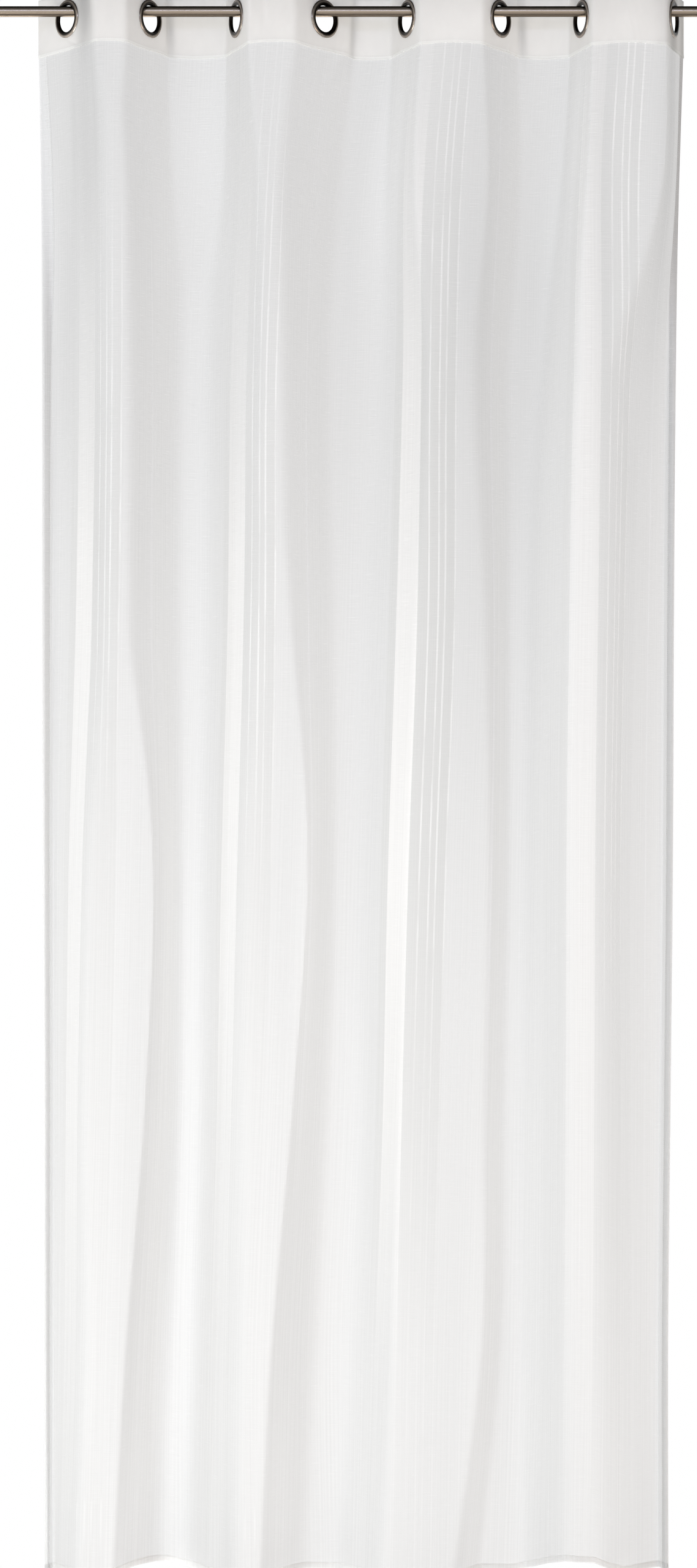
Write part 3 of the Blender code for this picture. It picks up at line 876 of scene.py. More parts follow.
@dataclass(frozen=True)
class VoileFinish:
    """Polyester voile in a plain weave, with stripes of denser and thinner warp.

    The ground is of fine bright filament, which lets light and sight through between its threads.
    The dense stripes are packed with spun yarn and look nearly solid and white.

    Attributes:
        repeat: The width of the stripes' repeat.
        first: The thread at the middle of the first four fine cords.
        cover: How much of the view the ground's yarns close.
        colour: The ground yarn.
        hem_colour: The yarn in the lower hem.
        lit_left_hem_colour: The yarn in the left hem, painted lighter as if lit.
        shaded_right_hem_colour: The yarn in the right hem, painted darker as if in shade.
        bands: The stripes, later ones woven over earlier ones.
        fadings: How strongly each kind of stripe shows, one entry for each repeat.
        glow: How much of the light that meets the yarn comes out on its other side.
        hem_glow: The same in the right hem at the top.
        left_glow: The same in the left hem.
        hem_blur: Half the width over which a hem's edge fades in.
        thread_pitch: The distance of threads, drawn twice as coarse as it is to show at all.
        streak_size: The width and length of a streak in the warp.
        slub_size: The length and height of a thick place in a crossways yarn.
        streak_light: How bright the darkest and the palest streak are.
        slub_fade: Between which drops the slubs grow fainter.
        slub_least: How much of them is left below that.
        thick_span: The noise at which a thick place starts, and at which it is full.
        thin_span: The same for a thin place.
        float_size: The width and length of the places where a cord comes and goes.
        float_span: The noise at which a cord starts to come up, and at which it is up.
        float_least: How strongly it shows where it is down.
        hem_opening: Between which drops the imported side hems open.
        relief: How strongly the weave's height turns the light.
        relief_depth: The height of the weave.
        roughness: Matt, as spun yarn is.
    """

    repeat: float = 0.359
    first: float = 0.162
    cover: float = 0.74
    colour: str = "#d5d5d4"
    hem_colour: str = "#efefee"
    lit_left_hem_colour: str = "#f0f0ef"
    shaded_right_hem_colour: str = "#e6e6e5"
    bands: tuple[Band, ...] = (
        Band("thin ground at the cords", Yarn.STRIPE, -0.0080, 0.058, 0.0040, 0.72, "#c8c8c6"),
        Band("thin ground at the stripe", Yarn.STRIPE, -0.0905, 0.017, 0.0080, 0.73, "#cececc"),
        Band("dense stripe", Yarn.STRIPE, -0.0595, 0.045, 0.0020, 0.96, "#edecea"),
        Band("first cord", Yarn.CORD, -0.0200, 0.0026, 0.0014, 0.95, "#efefee"),
        Band("second cord", Yarn.CORD, -0.0050, 0.0026, 0.0014, 0.95, "#efefee"),
        Band("third cord", Yarn.CORD, 0.0050, 0.0026, 0.0014, 0.95, "#efefee"),
        Band("fourth cord", Yarn.CORD, 0.0200, 0.0026, 0.0014, 0.95, "#efefee"),
        Band("pale strip", Yarn.STRIPE, 0.0920, 0.008, 0.0030, 0.76, "#d9d9d9"),
        Band("its cord", Yarn.CORD, 0.0920, 0.0012, 0.0008, 0.84, "#e4e4e4"),
    )
    fadings: dict[Yarn, tuple[Fading, ...]] = field(
        default_factory=lambda: {Yarn.STRIPE: STRIPE_FADINGS, Yarn.CORD: CORD_FADINGS}
    )
    glow: float = 0.45
    hem_glow: float = 0.08
    left_glow: float = 0.30
    hem_blur: float = 0.5 * MM
    thread_pitch: float = 1.0 * MM
    streak_size: Point = (3 * MM, 0.45, 1.0)
    slub_size: Point = (26 * MM, 1.3 * MM, 1.0)
    streak_light: Span = (0.975, 1.025)
    slub_fade: Span = (0.3, 1.3)
    slub_least: float = 0.35
    thick_span: Span = (0.64, 0.86)
    thin_span: Span = (0.38, 0.18)
    float_size: Point = (1 / 90, 1 / 9, 1.0)
    float_span: Span = (0.35, 0.55)
    float_least: float = 0.45
    hem_opening: Span = (0.5, 1.8)
    relief: float = 0.22
    relief_depth: float = 0.15 * MM
    roughness: float = 0.82

    def strengths(self, yarn: Yarn, threads: Array, drops: Array) -> Array:
        """How strongly a kind of stripe stands out at each point of the cloth.

        Args:
            yarn: The kind of stripe.
            threads: The threads of the points.
            drops: The drops of the points.

        Returns:
            A strength from 0 to 1 for each point.
        """
        fadings = self.fadings[yarn]
        repeat = np.clip(np.rint((threads - self.first) / self.repeat), 0, len(fadings) - 1)
        return np.choose(repeat.astype(int), [fading.at(drops) for fading in fadings])

    def stripes(self, tree: Tree, place: Node, thread: Socket) -> tuple[Node, Socket]:
        """Weaves the stripes one over the other.

        Args:
            tree: The node tree.
            place: What gives the thread and the drop in metres.
            thread: The output that gives the thread alone.

        Returns:
            What gives the cover and what gives the yarn's colour.
        """
        moved = add_node(tree, "Math", {0: thread, 1: self.first}, operation="SUBTRACT")
        half = self.repeat / 2
        across = add_node(tree, "Math", {0: moved, 1: half, 2: -half}, operation="WRAP")
        strength = {
            yarn: add_node(tree, "Attribute", attribute_name=yarn.value).outputs["Fac"]
            for yarn in Yarn
        }
        # The cords come and go, as if they ran now before and now behind the ground.
        coming = stretched_noise(tree, place, self.float_size, 2.0, noise_dimensions="2D")
        shown = add_node(tree, "MapRange", mapped(coming, self.float_span, self.float_least))
        both = {0: strength[Yarn.CORD], 1: shown}
        strength[Yarn.CORD] = add_node(tree, "Math", both, operation="MULTIPLY")
        cover, colour = self.cover, linear(self.colour)
        for band in self.bands:
            gap = add_node(tree, "Math", {0: across, 1: band.centre}, operation="SUBTRACT")
            away = add_node(tree, "Math", {0: gap}, operation="ABSOLUTE")
            ends = (band.width + band.edge) / 2, (band.width - band.edge) / 2
            inside = add_node(
                tree,
                "MapRange",
                mapped(away, ends, high=strength[band.yarn]),
                interpolation_type="SMOOTHSTEP",
                label=band.name,
            )
            cover = add_node(tree, "Mix", {0: inside, 2: cover, 3: band.cover}, data_type="FLOAT")
            yarns = {6: colour, 7: linear(band.colour)}
            colour = add_node(tree, "Mix", {0: inside} | yarns, data_type="RGBA").outputs[2]
        return cover, colour

    def hems(
        self, tree: Tree, ways: tuple[Socket, Socket], colour: Socket, panel: "VoilePanel"
    ) -> tuple[Socket, Node]:
        """Lays the turned hems on: lighter, and packed flat at the sides above.

        Args:
            tree: The node tree.
            ways: The outputs that give the thread and the drop.
            colour: The colour of the cloth inside the hems.
            panel: The panel, for its size and its hems' widths.

        Returns:
            What gives the yarn's colour and what gives its glow.
        """
        thread, drop = ways
        half = panel.cloth.plan.width / 2
        middle = add_node(tree, "Math", {0: thread, 1: half}, operation="SUBTRACT")
        aside = add_node(tree, "Math", {0: middle}, operation="ABSOLUTE")
        # The same hem yarn, painted lighter on the left and darker on the right, as light and
        # shade.
        yarns = {6: linear(self.lit_left_hem_colour), 7: linear(self.shaded_right_hem_colour)}
        sides = add_node(tree, "Mix", {0: thread} | yarns, data_type="RGBA").outputs[2]
        fold = panel.cloth.heading_drop + panel.length()
        inside = []
        for way, start, shade in (
            (aside, half - panel.side_hem.width, sides),
            (drop, fold - panel.lower_hem.width, linear(self.hem_colour)),
        ):
            ends = start - self.hem_blur, start + self.hem_blur
            inside.append(add_node(tree, "MapRange", mapped(way, ends)))
            yarns = {6: colour, 7: shade}
            colour = add_node(tree, "Mix", {0: inside[-1]} | yarns, data_type="RGBA").outputs[2]
        above, below = (
            add_node(tree, "MapRange", mapped(thread, low=self.left_glow, high=glow))
            for glow in (self.hem_glow, self.glow)
        )
        sides = add_node(tree, "MapRange", mapped(drop, self.hem_opening, above, below))
        glow = add_node(tree, "Mix", {0: inside[0], 2: self.glow, 3: sides}, data_type="FLOAT")
        return colour, glow

    def build(self, panel: "VoilePanel") -> Material:
        """Makes the material.

        Args:
            panel: The panel that is made of it, for its size and its hems' widths.

        Returns:
            The finish of the sheer cloth.
        """
        material = bpy.data.materials.new("polyester voile")
        tree = empty_tree(material)
        place = add_node(tree, "UVMap", uv_map="Cloth")
        thread, drop = add_node(tree, "SeparateXYZ", {0: place}).outputs[:2]
        cover, colour = self.stripes(tree, place, thread)
        colour, glow = self.hems(tree, (thread, drop), colour, panel)

        # Warp yarns are not all alike: long faint streaks, a few millimetres wide.
        streaks = stretched_noise(tree, place, self.streak_size, 2.0, noise_dimensions="2D")

        # Slubs: thick places in the crossways yarn, as short bright dashes, and thin ones as dark.
        # They show best above, where the cloth hangs in softer light.
        uneven = stretched_noise(tree, place, self.slub_size, 1.0, noise_dimensions="2D")
        felt = add_node(tree, "MapRange", mapped(drop, self.slub_fade, 1.0, self.slub_least))
        thick, thin = (
            add_node(tree, "MapRange", mapped(uneven, ends, high=felt))
            for ends in (self.thick_span, self.thin_span)
        )
        weave = plain_weave(tree, place, self.thread_pitch)

        # How much the yarn closes the view, with all of that on it.
        for share, amount, least in (
            (streaks, 0.10, -0.05),
            (thick, 0.06, 0.0),
            (thin, -0.03, 0.0),
            (weave, 0.03, 0.0),
        ):
            parts = {0: share, 1: amount, 2: least}
            more = add_node(tree, "Math", parts, operation="MULTIPLY_ADD")
            cover = add_node(tree, "Math", {0: cover, 1: more}, operation="ADD")
        cover = add_node(tree, "Clamp", {0: cover})

        # How bright it is, and how high it stands.
        bright = add_node(tree, "MapRange", mapped(streaks, (0.0, 1.0), *self.streak_light))
        for share, amount in ((thick, 0.08), (thin, -0.05)):
            parts = {0: share, 1: amount, 2: bright}
            bright = add_node(tree, "Math", parts, operation="MULTIPLY_ADD")
        height = add_node(tree, "Math", {0: thick, 1: 1.5, 2: weave}, operation="MULTIPLY_ADD")
        relief = {"Strength": self.relief, "Distance": self.relief_depth, "Height": height}
        lit = lit_yarn(tree, shaded(tree, colour, bright), relief, self.roughness, glow)
        clear = add_node(tree, "BsdfTransparent")
        cloth = add_node(tree, "MixShader", {0: cover, 1: clear, 2: lit})
        add_node(tree, "OutputMaterial", {"Surface": cloth})
        return material


@dataclass(frozen=True)
class HeadingFinish:
    """The same voile doubled over a stiffener: warm white, matt and solid to the eye.

    Attributes:
        colour: The doubled cloth.
        edge_colour: Its lower edge, where more layers lie on each other.
        edge_width: How wide that edge is.
        grain_pitch: The distance of its threads, drawn twice as coarse as it is.
        cloud_size: The width and height of its paler and darker places.
        cloud_light: How bright the darkest and the palest of them are.
        relief: How strongly the weave's height turns the light.
        relief_depth: The height of the weave.
        glow: How much light comes through.
        roughness: Matt, as spun yarn is.
    """

    colour: str = "#f5f4f2"
    edge_colour: str = "#fdfdfb"
    edge_width: float = 2.4 * MM
    grain_pitch: float = 1.0 * MM
    cloud_size: Point = (14 * MM, 30 * MM, 1.0)
    cloud_light: Span = (0.98, 1.02)
    relief: float = 0.4
    relief_depth: float = 0.12 * MM
    glow: float = 0.60
    roughness: float = 0.85

    def build(self, lower_edge: float) -> Material:
        """Makes the material.

        Args:
            lower_edge: The drop of the heading's lower edge.

        Returns:
            The finish of the heading.
        """
        material = bpy.data.materials.new("doubled voile over stiffener")
        tree = empty_tree(material)
        place = add_node(tree, "UVMap", uv_map="Cloth")
        drop = add_node(tree, "SeparateXYZ", {0: place}).outputs[1]
        ends = lower_edge - 2 * self.edge_width, lower_edge - self.edge_width
        edge = add_node(tree, "MapRange", mapped(drop, ends), interpolation_type="SMOOTHSTEP")
        cloths = {6: linear(self.colour), 7: linear(self.edge_colour)}
        colour = add_node(tree, "Mix", {0: edge} | cloths, data_type="RGBA").outputs[2]
        cloudy = stretched_noise(tree, place, self.cloud_size, 3.0, noise_dimensions="2D")
        bright = add_node(tree, "MapRange", mapped(cloudy, (0.0, 1.0), *self.cloud_light))
        weave = plain_weave(tree, place, self.grain_pitch)
        relief = {"Strength": self.relief, "Distance": self.relief_depth, "Height": weave}
        lit = lit_yarn(tree, shaded(tree, colour, bright), relief, self.roughness, self.glow)
        add_node(tree, "OutputMaterial", {"Surface": lit})
        return material


@dataclass(frozen=True)
class ThreadFinish:
    """Spun polyester sewing thread: white, matt, with a faint twist.

    Attributes:
        colour: The thread.
        low_colour: The thread in the grooves between its plies.
        twist: The distance of the turns of its plies.
        roughness: Matt, as spun yarn is.
    """

    colour: str = "#efeeec"
    low_colour: str = "#e2e1de"
    twist: float = 0.6 * MM
    roughness: float = 0.75

    def build(self) -> Material:
        """Makes the material.

        Returns:
            The finish of the stitches.
        """
        material = bpy.data.materials.new("spun sewing thread")
        tree = empty_tree(material)
        place = add_node(tree, "TexCoord").outputs["Object"]
        look = {"Vector": place, "Scale": 1 / self.twist, "Detail": 1.0}
        yarns = {6: linear(self.low_colour), 7: linear(self.colour)}
        plies = {0: add_node(tree, "TexNoise", look)} | yarns
        colour = add_node(tree, "Mix", plies, data_type="RGBA").outputs[2]
        look = {"Base Color": colour, "Roughness": self.roughness}
        add_node(tree, "OutputMaterial", {"Surface": add_node(tree, "BsdfPrincipled", look)})
        return material


@dataclass(frozen=True)
class GunmetalFinish:
    """Pressed steel plated near-black and glossy, with a painted brown highlight on the outer rim.

    Attributes:
        colour: The plating.
        rim_sheen_colour: The rim's painted highlight, broken up by rubbed places.
        rim: The mark that says how near the rim a point lies.
        sheen_and_wear: The rim's painted highlight and wear, at the least and the most rubbed
            place.
        roughness: A satin gloss, from the smoothest to the roughest place.
        rub_size: The size of the cloudy rubbed places.
    """

    colour: str = "#1e1a17"
    rim_sheen_colour: str = "#aba095"
    rim: str = "Rim"
    sheen_and_wear: Span = (0.4, 1.3)
    roughness: Span = (0.15, 0.27)
    rub_size: float = 9 * MM

    def build(self) -> Material:
        """Makes the material.

        Returns:
            The finish of the eyelets.
        """
        material = bpy.data.materials.new("gunmetal plated steel")
        tree = empty_tree(material)
        place = add_node(tree, "TexCoord").outputs["Object"]
        look = {"Vector": place, "Scale": 1 / self.rub_size, "Detail": 4.0}
        cloud = add_node(tree, "TexNoise", look)
        # Painted highlight on the outer rim, broken up by rubbed places.
        rim = add_node(tree, "Attribute", attribute_name=self.rim).outputs["Fac"]
        share = add_node(tree, "MapRange", mapped(cloud, (0.0, 1.0), *self.sheen_and_wear))
        rim_sheen_and_wear = add_node(tree, "Math", {0: rim, 1: share}, operation="MULTIPLY", use_clamp=True)
        plates = {6: linear(self.colour), 7: linear(self.rim_sheen_colour)}
        colour = add_node(tree, "Mix", {0: rim_sheen_and_wear} | plates, data_type="RGBA").outputs[2]
        smear = add_node(tree, "MapRange", mapped(cloud, (0.0, 1.0), *self.roughness))
        look = {"Base Color": colour, "Metallic": 1.0, "Roughness": smear}
        add_node(tree, "OutputMaterial", {"Surface": add_node(tree, "BsdfPrincipled", look)})
        return material


@dataclass(frozen=True)
class SatinNickelFinish:
    """Steel tube plated with nickel and brushed along its length: brownish grey with a soft gleam.
    Painted shade makes it near-black along the top and darker below.

    Attributes:
        colour: The plating.
        low_colour: The plating below, painted darker as shade.
        painted_top_shade: The plating along the top, painted near-black as shade.
        edge_colour: The plating where it is seen edge on.
        low: Between which heights the colour turns to the painted lower shade, in radii above the
            middle.
        top: Between which heights it turns to the painted top shade.
        radius: Half the tube's thickness.
        roughness: Brushed, so that a lamp's image is drawn out, from the smoothest to the roughest.
        scratch_size: The length of a brush mark and its width, drawn wider than it is to show.
        scratch_light: How bright the darkest and the palest mark are.
        relief: How strongly the marks' height turns the light.
        relief_depth: The height of the marks.
    """

    colour: str = "#c0b2a2"
    low_colour: str = "#877a6c"
    painted_top_shade: str = "#0e0b09"
    edge_colour: str = "#6e655c"
    low: Span = (0.05, -0.5)
    top: Span = (0.43, 0.82)
    radius: float = 8 * MM
    roughness: Span = (0.20, 0.34)
    scratch_size: Point = (60 * MM, 0.5 * MM, 0.5 * MM)
    scratch_light: Span = (0.90, 1.08)
    relief: float = 0.15
    relief_depth: float = 0.02 * MM

    def build(self) -> Material:
        """Makes the material.

        Returns:
            The finish of the rod.
        """
        material = bpy.data.materials.new("satin nickel plated steel")
        tree = empty_tree(material)
        place = add_node(tree, "TexCoord").outputs["Object"]
        height = add_node(tree, "SeparateXYZ", {0: place}).outputs[2]
        marks = stretched_noise(tree, place, self.scratch_size, 3.0)
        colour = linear(self.colour)
        # Painted shade by height: near-black along the top and darker below.
        for (start, full), other in ((self.low, self.low_colour), (self.top, self.painted_top_shade)):
            look = mapped(height, (start * self.radius, full * self.radius))
            part = add_node(tree, "MapRange", look, interpolation_type="SMOOTHSTEP")
            plates = {6: colour, 7: linear(other)}
            colour = add_node(tree, "Mix", {0: part} | plates, data_type="RGBA").outputs[2]
        streak = add_node(tree, "MapRange", mapped(marks, (0.0, 1.0), *self.scratch_light))
        parts = {0: colour, "Scale": streak}
        relief = {"Strength": self.relief, "Distance": self.relief_depth, "Height": marks}
        look = {
            "Base Color": add_node(tree, "VectorMath", parts, operation="SCALE"),
            "Metallic": 1.0,
            "Roughness": add_node(tree, "MapRange", mapped(marks, (0.0, 1.0), *self.roughness)),
            "Specular Tint": linear(self.edge_colour),
            "Normal": add_node(tree, "Bump", relief),
        }
        add_node(tree, "OutputMaterial", {"Surface": add_node(tree, "BsdfPrincipled", look)})
        return material


# ---- The sheer panel ----


@dataclass(frozen=True)
class TurnedHem:
    """A hem that is turned twice: back behind the cloth, and its raw edge in between.

    Attributes:
        width: The hem's width.
        gap: The distance from the cloth to the hem's back layer.
        raw_margin: How far the raw edge stays short of the fold.
        steps: Points across each layer.
    """

    width: float
    gap: float
    raw_margin: float = 1.5 * MM
    steps: int = 5

    def layers(self) -> Trio:
        """The path of the cloth from its edge into the hem.

        Returns:
            For each point its distance in from the edge, its distance behind the cloth, and how
            far along the cloth it lies past the edge.
        """
        out = np.linspace(0.0, self.width, self.steps)
        home = np.linspace(self.width, self.raw_margin, self.steps)
        layer = np.full(self.steps, self.gap)
        inset = np.concatenate([[-self.gap / 2], out, [self.width + self.gap / 4], home])
        behind = np.concatenate([[self.gap / 2], layer, [0.75 * self.gap], layer / 2])
        past = np.concatenate([[0.0], out, [self.width], 2 * self.width - home])
        return inset, behind, past


@dataclass
class VoilePanel:
    """The sheer cloth below the heading, one sheet with its turned hems.

    Attributes:
        cloth: How the cloth hangs.
        tuck: How far the cloth runs up into the heading.
        columns: Points across the cloth.
        rows: Points down the cloth.
        side_hem: The hems at its sides.
        lower_hem: The hem at its lower edge.
        cut_length: The length that the panel was cut to, below the heading. Not used.
        hem_allowance: How much wider it was cut, for both side hems. Not used.
        crease: The least angle that shows as an edge, in degrees.
    """

    cloth: HungCloth
    tuck: float = 2 * MM
    columns: int = 401
    rows: int = 181
    side_hem: TurnedHem = TurnedHem(width=19 * MM, gap=0.7 * MM)
    lower_hem: TurnedHem = TurnedHem(width=10 * MM, gap=0.5 * MM)
    cut_length: float = 2.370
    hem_allowance: float = 0.08
    crease: float = 35

    def length(self) -> float:
        """The panel's length from the heading's edge to the lower hem, at its middle."""
        middle = np.array([self.cloth.plan.width / 2])
        return float(self.cloth.hem_drop(middle)[0]) - self.cloth.heading_drop

    def grid(self) -> Pair:
        """Works out the sheet: the hung surface, moved back where a hem's layers lie behind it.

        Returns:
            Points, and thread and drop for each, rows downwards.
        """
        width = self.cloth.plan.width
        inset, behind, past = self.side_hem.layers()
        inner = np.linspace(0.0, width, self.columns)
        threads = np.concatenate([inset[::-1], inner, width - inset])
        side_behind = np.concatenate([behind[::-1], np.zeros(self.columns), behind])
        own_thread = np.concatenate([-past[::-1], inner, width + past])

        length = self.length()
        inset, behind, past = (part / length for part in self.lower_hem.layers())
        inner = np.linspace(-self.tuck / length, 1.0, self.rows)
        shares = np.concatenate([inner, 1.0 - inset])
        row_behind = np.concatenate([np.zeros(self.rows), behind * length])
        own_share = np.concatenate([inner, 1.0 + past])

        points, across, back = self.cloth.surface(np.clip(threads, 0.0, width), shares)
        outside = threads - np.clip(threads, 0.0, width)
        points = points + across * outside[None, :, None]
        points = points + back * (side_behind[None, :, None] + row_behind[:, None, None])
        drops = self.cloth.heading_drop + own_share * length
        uv = np.stack(np.broadcast_arrays(own_thread[None, :], drops[:, None]), axis=-1)
        return points, uv

    def build(self, finish: VoileFinish) -> Object:
        """Makes the sheet.

        Args:
            finish: The sheer cloth's finish.

        Returns:
            The sheet, which stands for the panel's solid.
        """
        points, uv = self.grid()
        rows, columns = points.shape[:2]
        place = uv[..., 0], uv[..., 1]
        marks = {yarn.value: finish.strengths(yarn, *place) for yarn in Yarn}
        # Painted shade: the crease shadows and the other painted shade patches, in the Shade mark.
        marks[SHADE] = self.cloth.shade(self.cloth.painted_crease_shade + self.cloth.painted_shades, *place)
        sheet = mesh_object(
            "voile_sheet",
            points.reshape(-1, 3),
            grid_faces(rows, columns),
            finish.build(self),
            uv.reshape(-1, 2),
            marks,
        )
        sheet.data.set_sharp_from_angle(angle=math.radians(self.crease))
        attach(sheet, "root")
        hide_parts("voile_panel")
        log.info("voile_sheet: %d points down by %d across", rows, columns)
        return sheet


# ---- Stitching ----


@dataclass(frozen=True)
class Stitcher:
    """Lockstitch: short thread loops one behind the other, on both faces of the cloth.

    Attributes:
        pitch: The length of one stitch.
        share: How much of the pitch the thread shows.
        radius: Half the thread's thickness.
    """

    pitch: float = 3.2 * MM
    share: float = 0.74
    radius: float = 0.18 * MM

    def stitch(self) -> Pair:
        """One stitch along x with z out of the cloth: a tube that is thickest in its middle.

        Returns:
            Its points, for a pitch of one, and its faces.
        """
        along = np.array([-0.5, -0.2, 0.2, 0.5]) * self.share
        size = np.array([0.45, 1.0, 1.0, 0.45])[:, None] * self.radius
        turn = np.radians([45, 135, 225, 315])[None, :]
        ring_y, ring_z = np.cos(turn) * size, np.sin(turn) * size
        points = np.stack([np.broadcast_to(along[:, None], ring_y.shape), ring_y, ring_z], axis=-1)
        sides = grid_faces(len(along), turn.size, close_columns=True)[:, ::-1]
        last = (len(along) - 1) * turn.size
        caps = np.array([[3, 2, 1, 0], [last, last + 1, last + 2, last + 3]])
        return points.reshape(-1, 3), np.vstack([sides, caps])

    def seam(self, line: Array, outward: Array, lift: float) -> Pair:
        """A row of stitches along a line on the cloth.

        Args:
            line: Points on the cloth, a pitch apart.
            outward: The unit vector out of the cloth at each point.
            lift: How far out of the cloth the thread's middle lies.

        Returns:
            Points and faces of all the stitches.
        """
        template, faces = self.stitch()
        run = line[1:] - line[:-1]
        out = unit(outward[1:] + outward[:-1])
        middle = (line[1:] + line[:-1]) / 2 + out * lift
        side = unit(np.cross(out, run))
        points = (
            middle[:, None, :]
            + template[None, :, :1] * run[:, None, :]
            + template[None, :, 1:2] * side[:, None, :]
            + template[None, :, 2:] * out[:, None, :]
        )
        steps = np.arange(len(middle))[:, None, None] * len(template)
        return points.reshape(-1, 3), (faces[None] + steps).reshape(-1, 4)

    def join(self, name: str, seams: list[Pair], finish: Material) -> Object:
        """Joins rows of stitches into one object.

        Args:
            name: The object's name.
            seams: Points and faces of each row.
            finish: The thread's material.

        Returns:
            The object.
        """
        points, faces, start = [], [], 0
        for seam_points, seam_faces in seams:
            points.append(seam_points)
            faces.append(seam_faces + start)
            start += len(seam_points)
        obj = mesh_object(name, np.vstack(points), np.vstack(faces), finish)
        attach(obj, "root")
        log.info("%s: %d faces", name, sum(len(part) for part in faces))
        return obj


@dataclass
class HemStitching:
    """The seams that hold the panel's side hems and lower hem.

    Attributes:
        panel: The panel that is sewn.
        stitcher: The stitch that is used.
        inset: How far inside a hem's inner edge the seam runs.
        lift: How far off the cloth the thread's middle lies.
        start: The share of the way down at which the side seams begin.
        end: How far above the lower edge they end, in widths of the lower hem.
    """

    panel: VoilePanel
    stitcher: Stitcher = Stitcher()
    inset: float = 1.8 * MM
    lift: float = 0.1 * MM
    start: float = 0.004
    end: float = 0.6

    def build(self, finish: Material) -> Object:
        """Makes the seams, on the front and on the back.

        Args:
            finish: The thread's material.

        Returns:
            The stitches as one object.
        """
        cloth, width = self.panel.cloth, self.panel.cloth.plan.width
        length, pitch = self.panel.length(), self.stitcher.pitch
        side, lower = self.panel.side_hem, self.panel.lower_hem
        seams = []
        shares = np.linspace(0.0, 1.0, self.panel.rows)
        stops = np.arange(self.start, 1.0 - self.end * lower.width / length, pitch / length)
        threads = np.array([side.width - self.inset, width - side.width + self.inset])
        points, _, back = cloth.surface(threads, shares)
        for column in range(len(threads)):
            line, out = (
                np.stack([np.interp(stops, shares, axis) for axis in part[:, column].T], axis=-1)
                for part in (points, back)
            )
            seams.append(self.stitcher.seam(line, -out, self.lift))
            seams.append(self.stitcher.seam(line, out, side.gap + self.lift))
        threads = np.arange(0.5 * side.width, width - 0.5 * side.width, pitch)
        share = np.array([1.0 - (lower.width - self.inset) / length])
        points, _, back = cloth.surface(threads, share)
        seams.append(self.stitcher.seam(points[0], -back[0], self.lift))
        seams.append(self.stitcher.seam(points[0], back[0], lower.gap + self.lift))
        obj = self.stitcher.join("hem_stitching", seams, finish)
        return obj


# ---- The heading ----


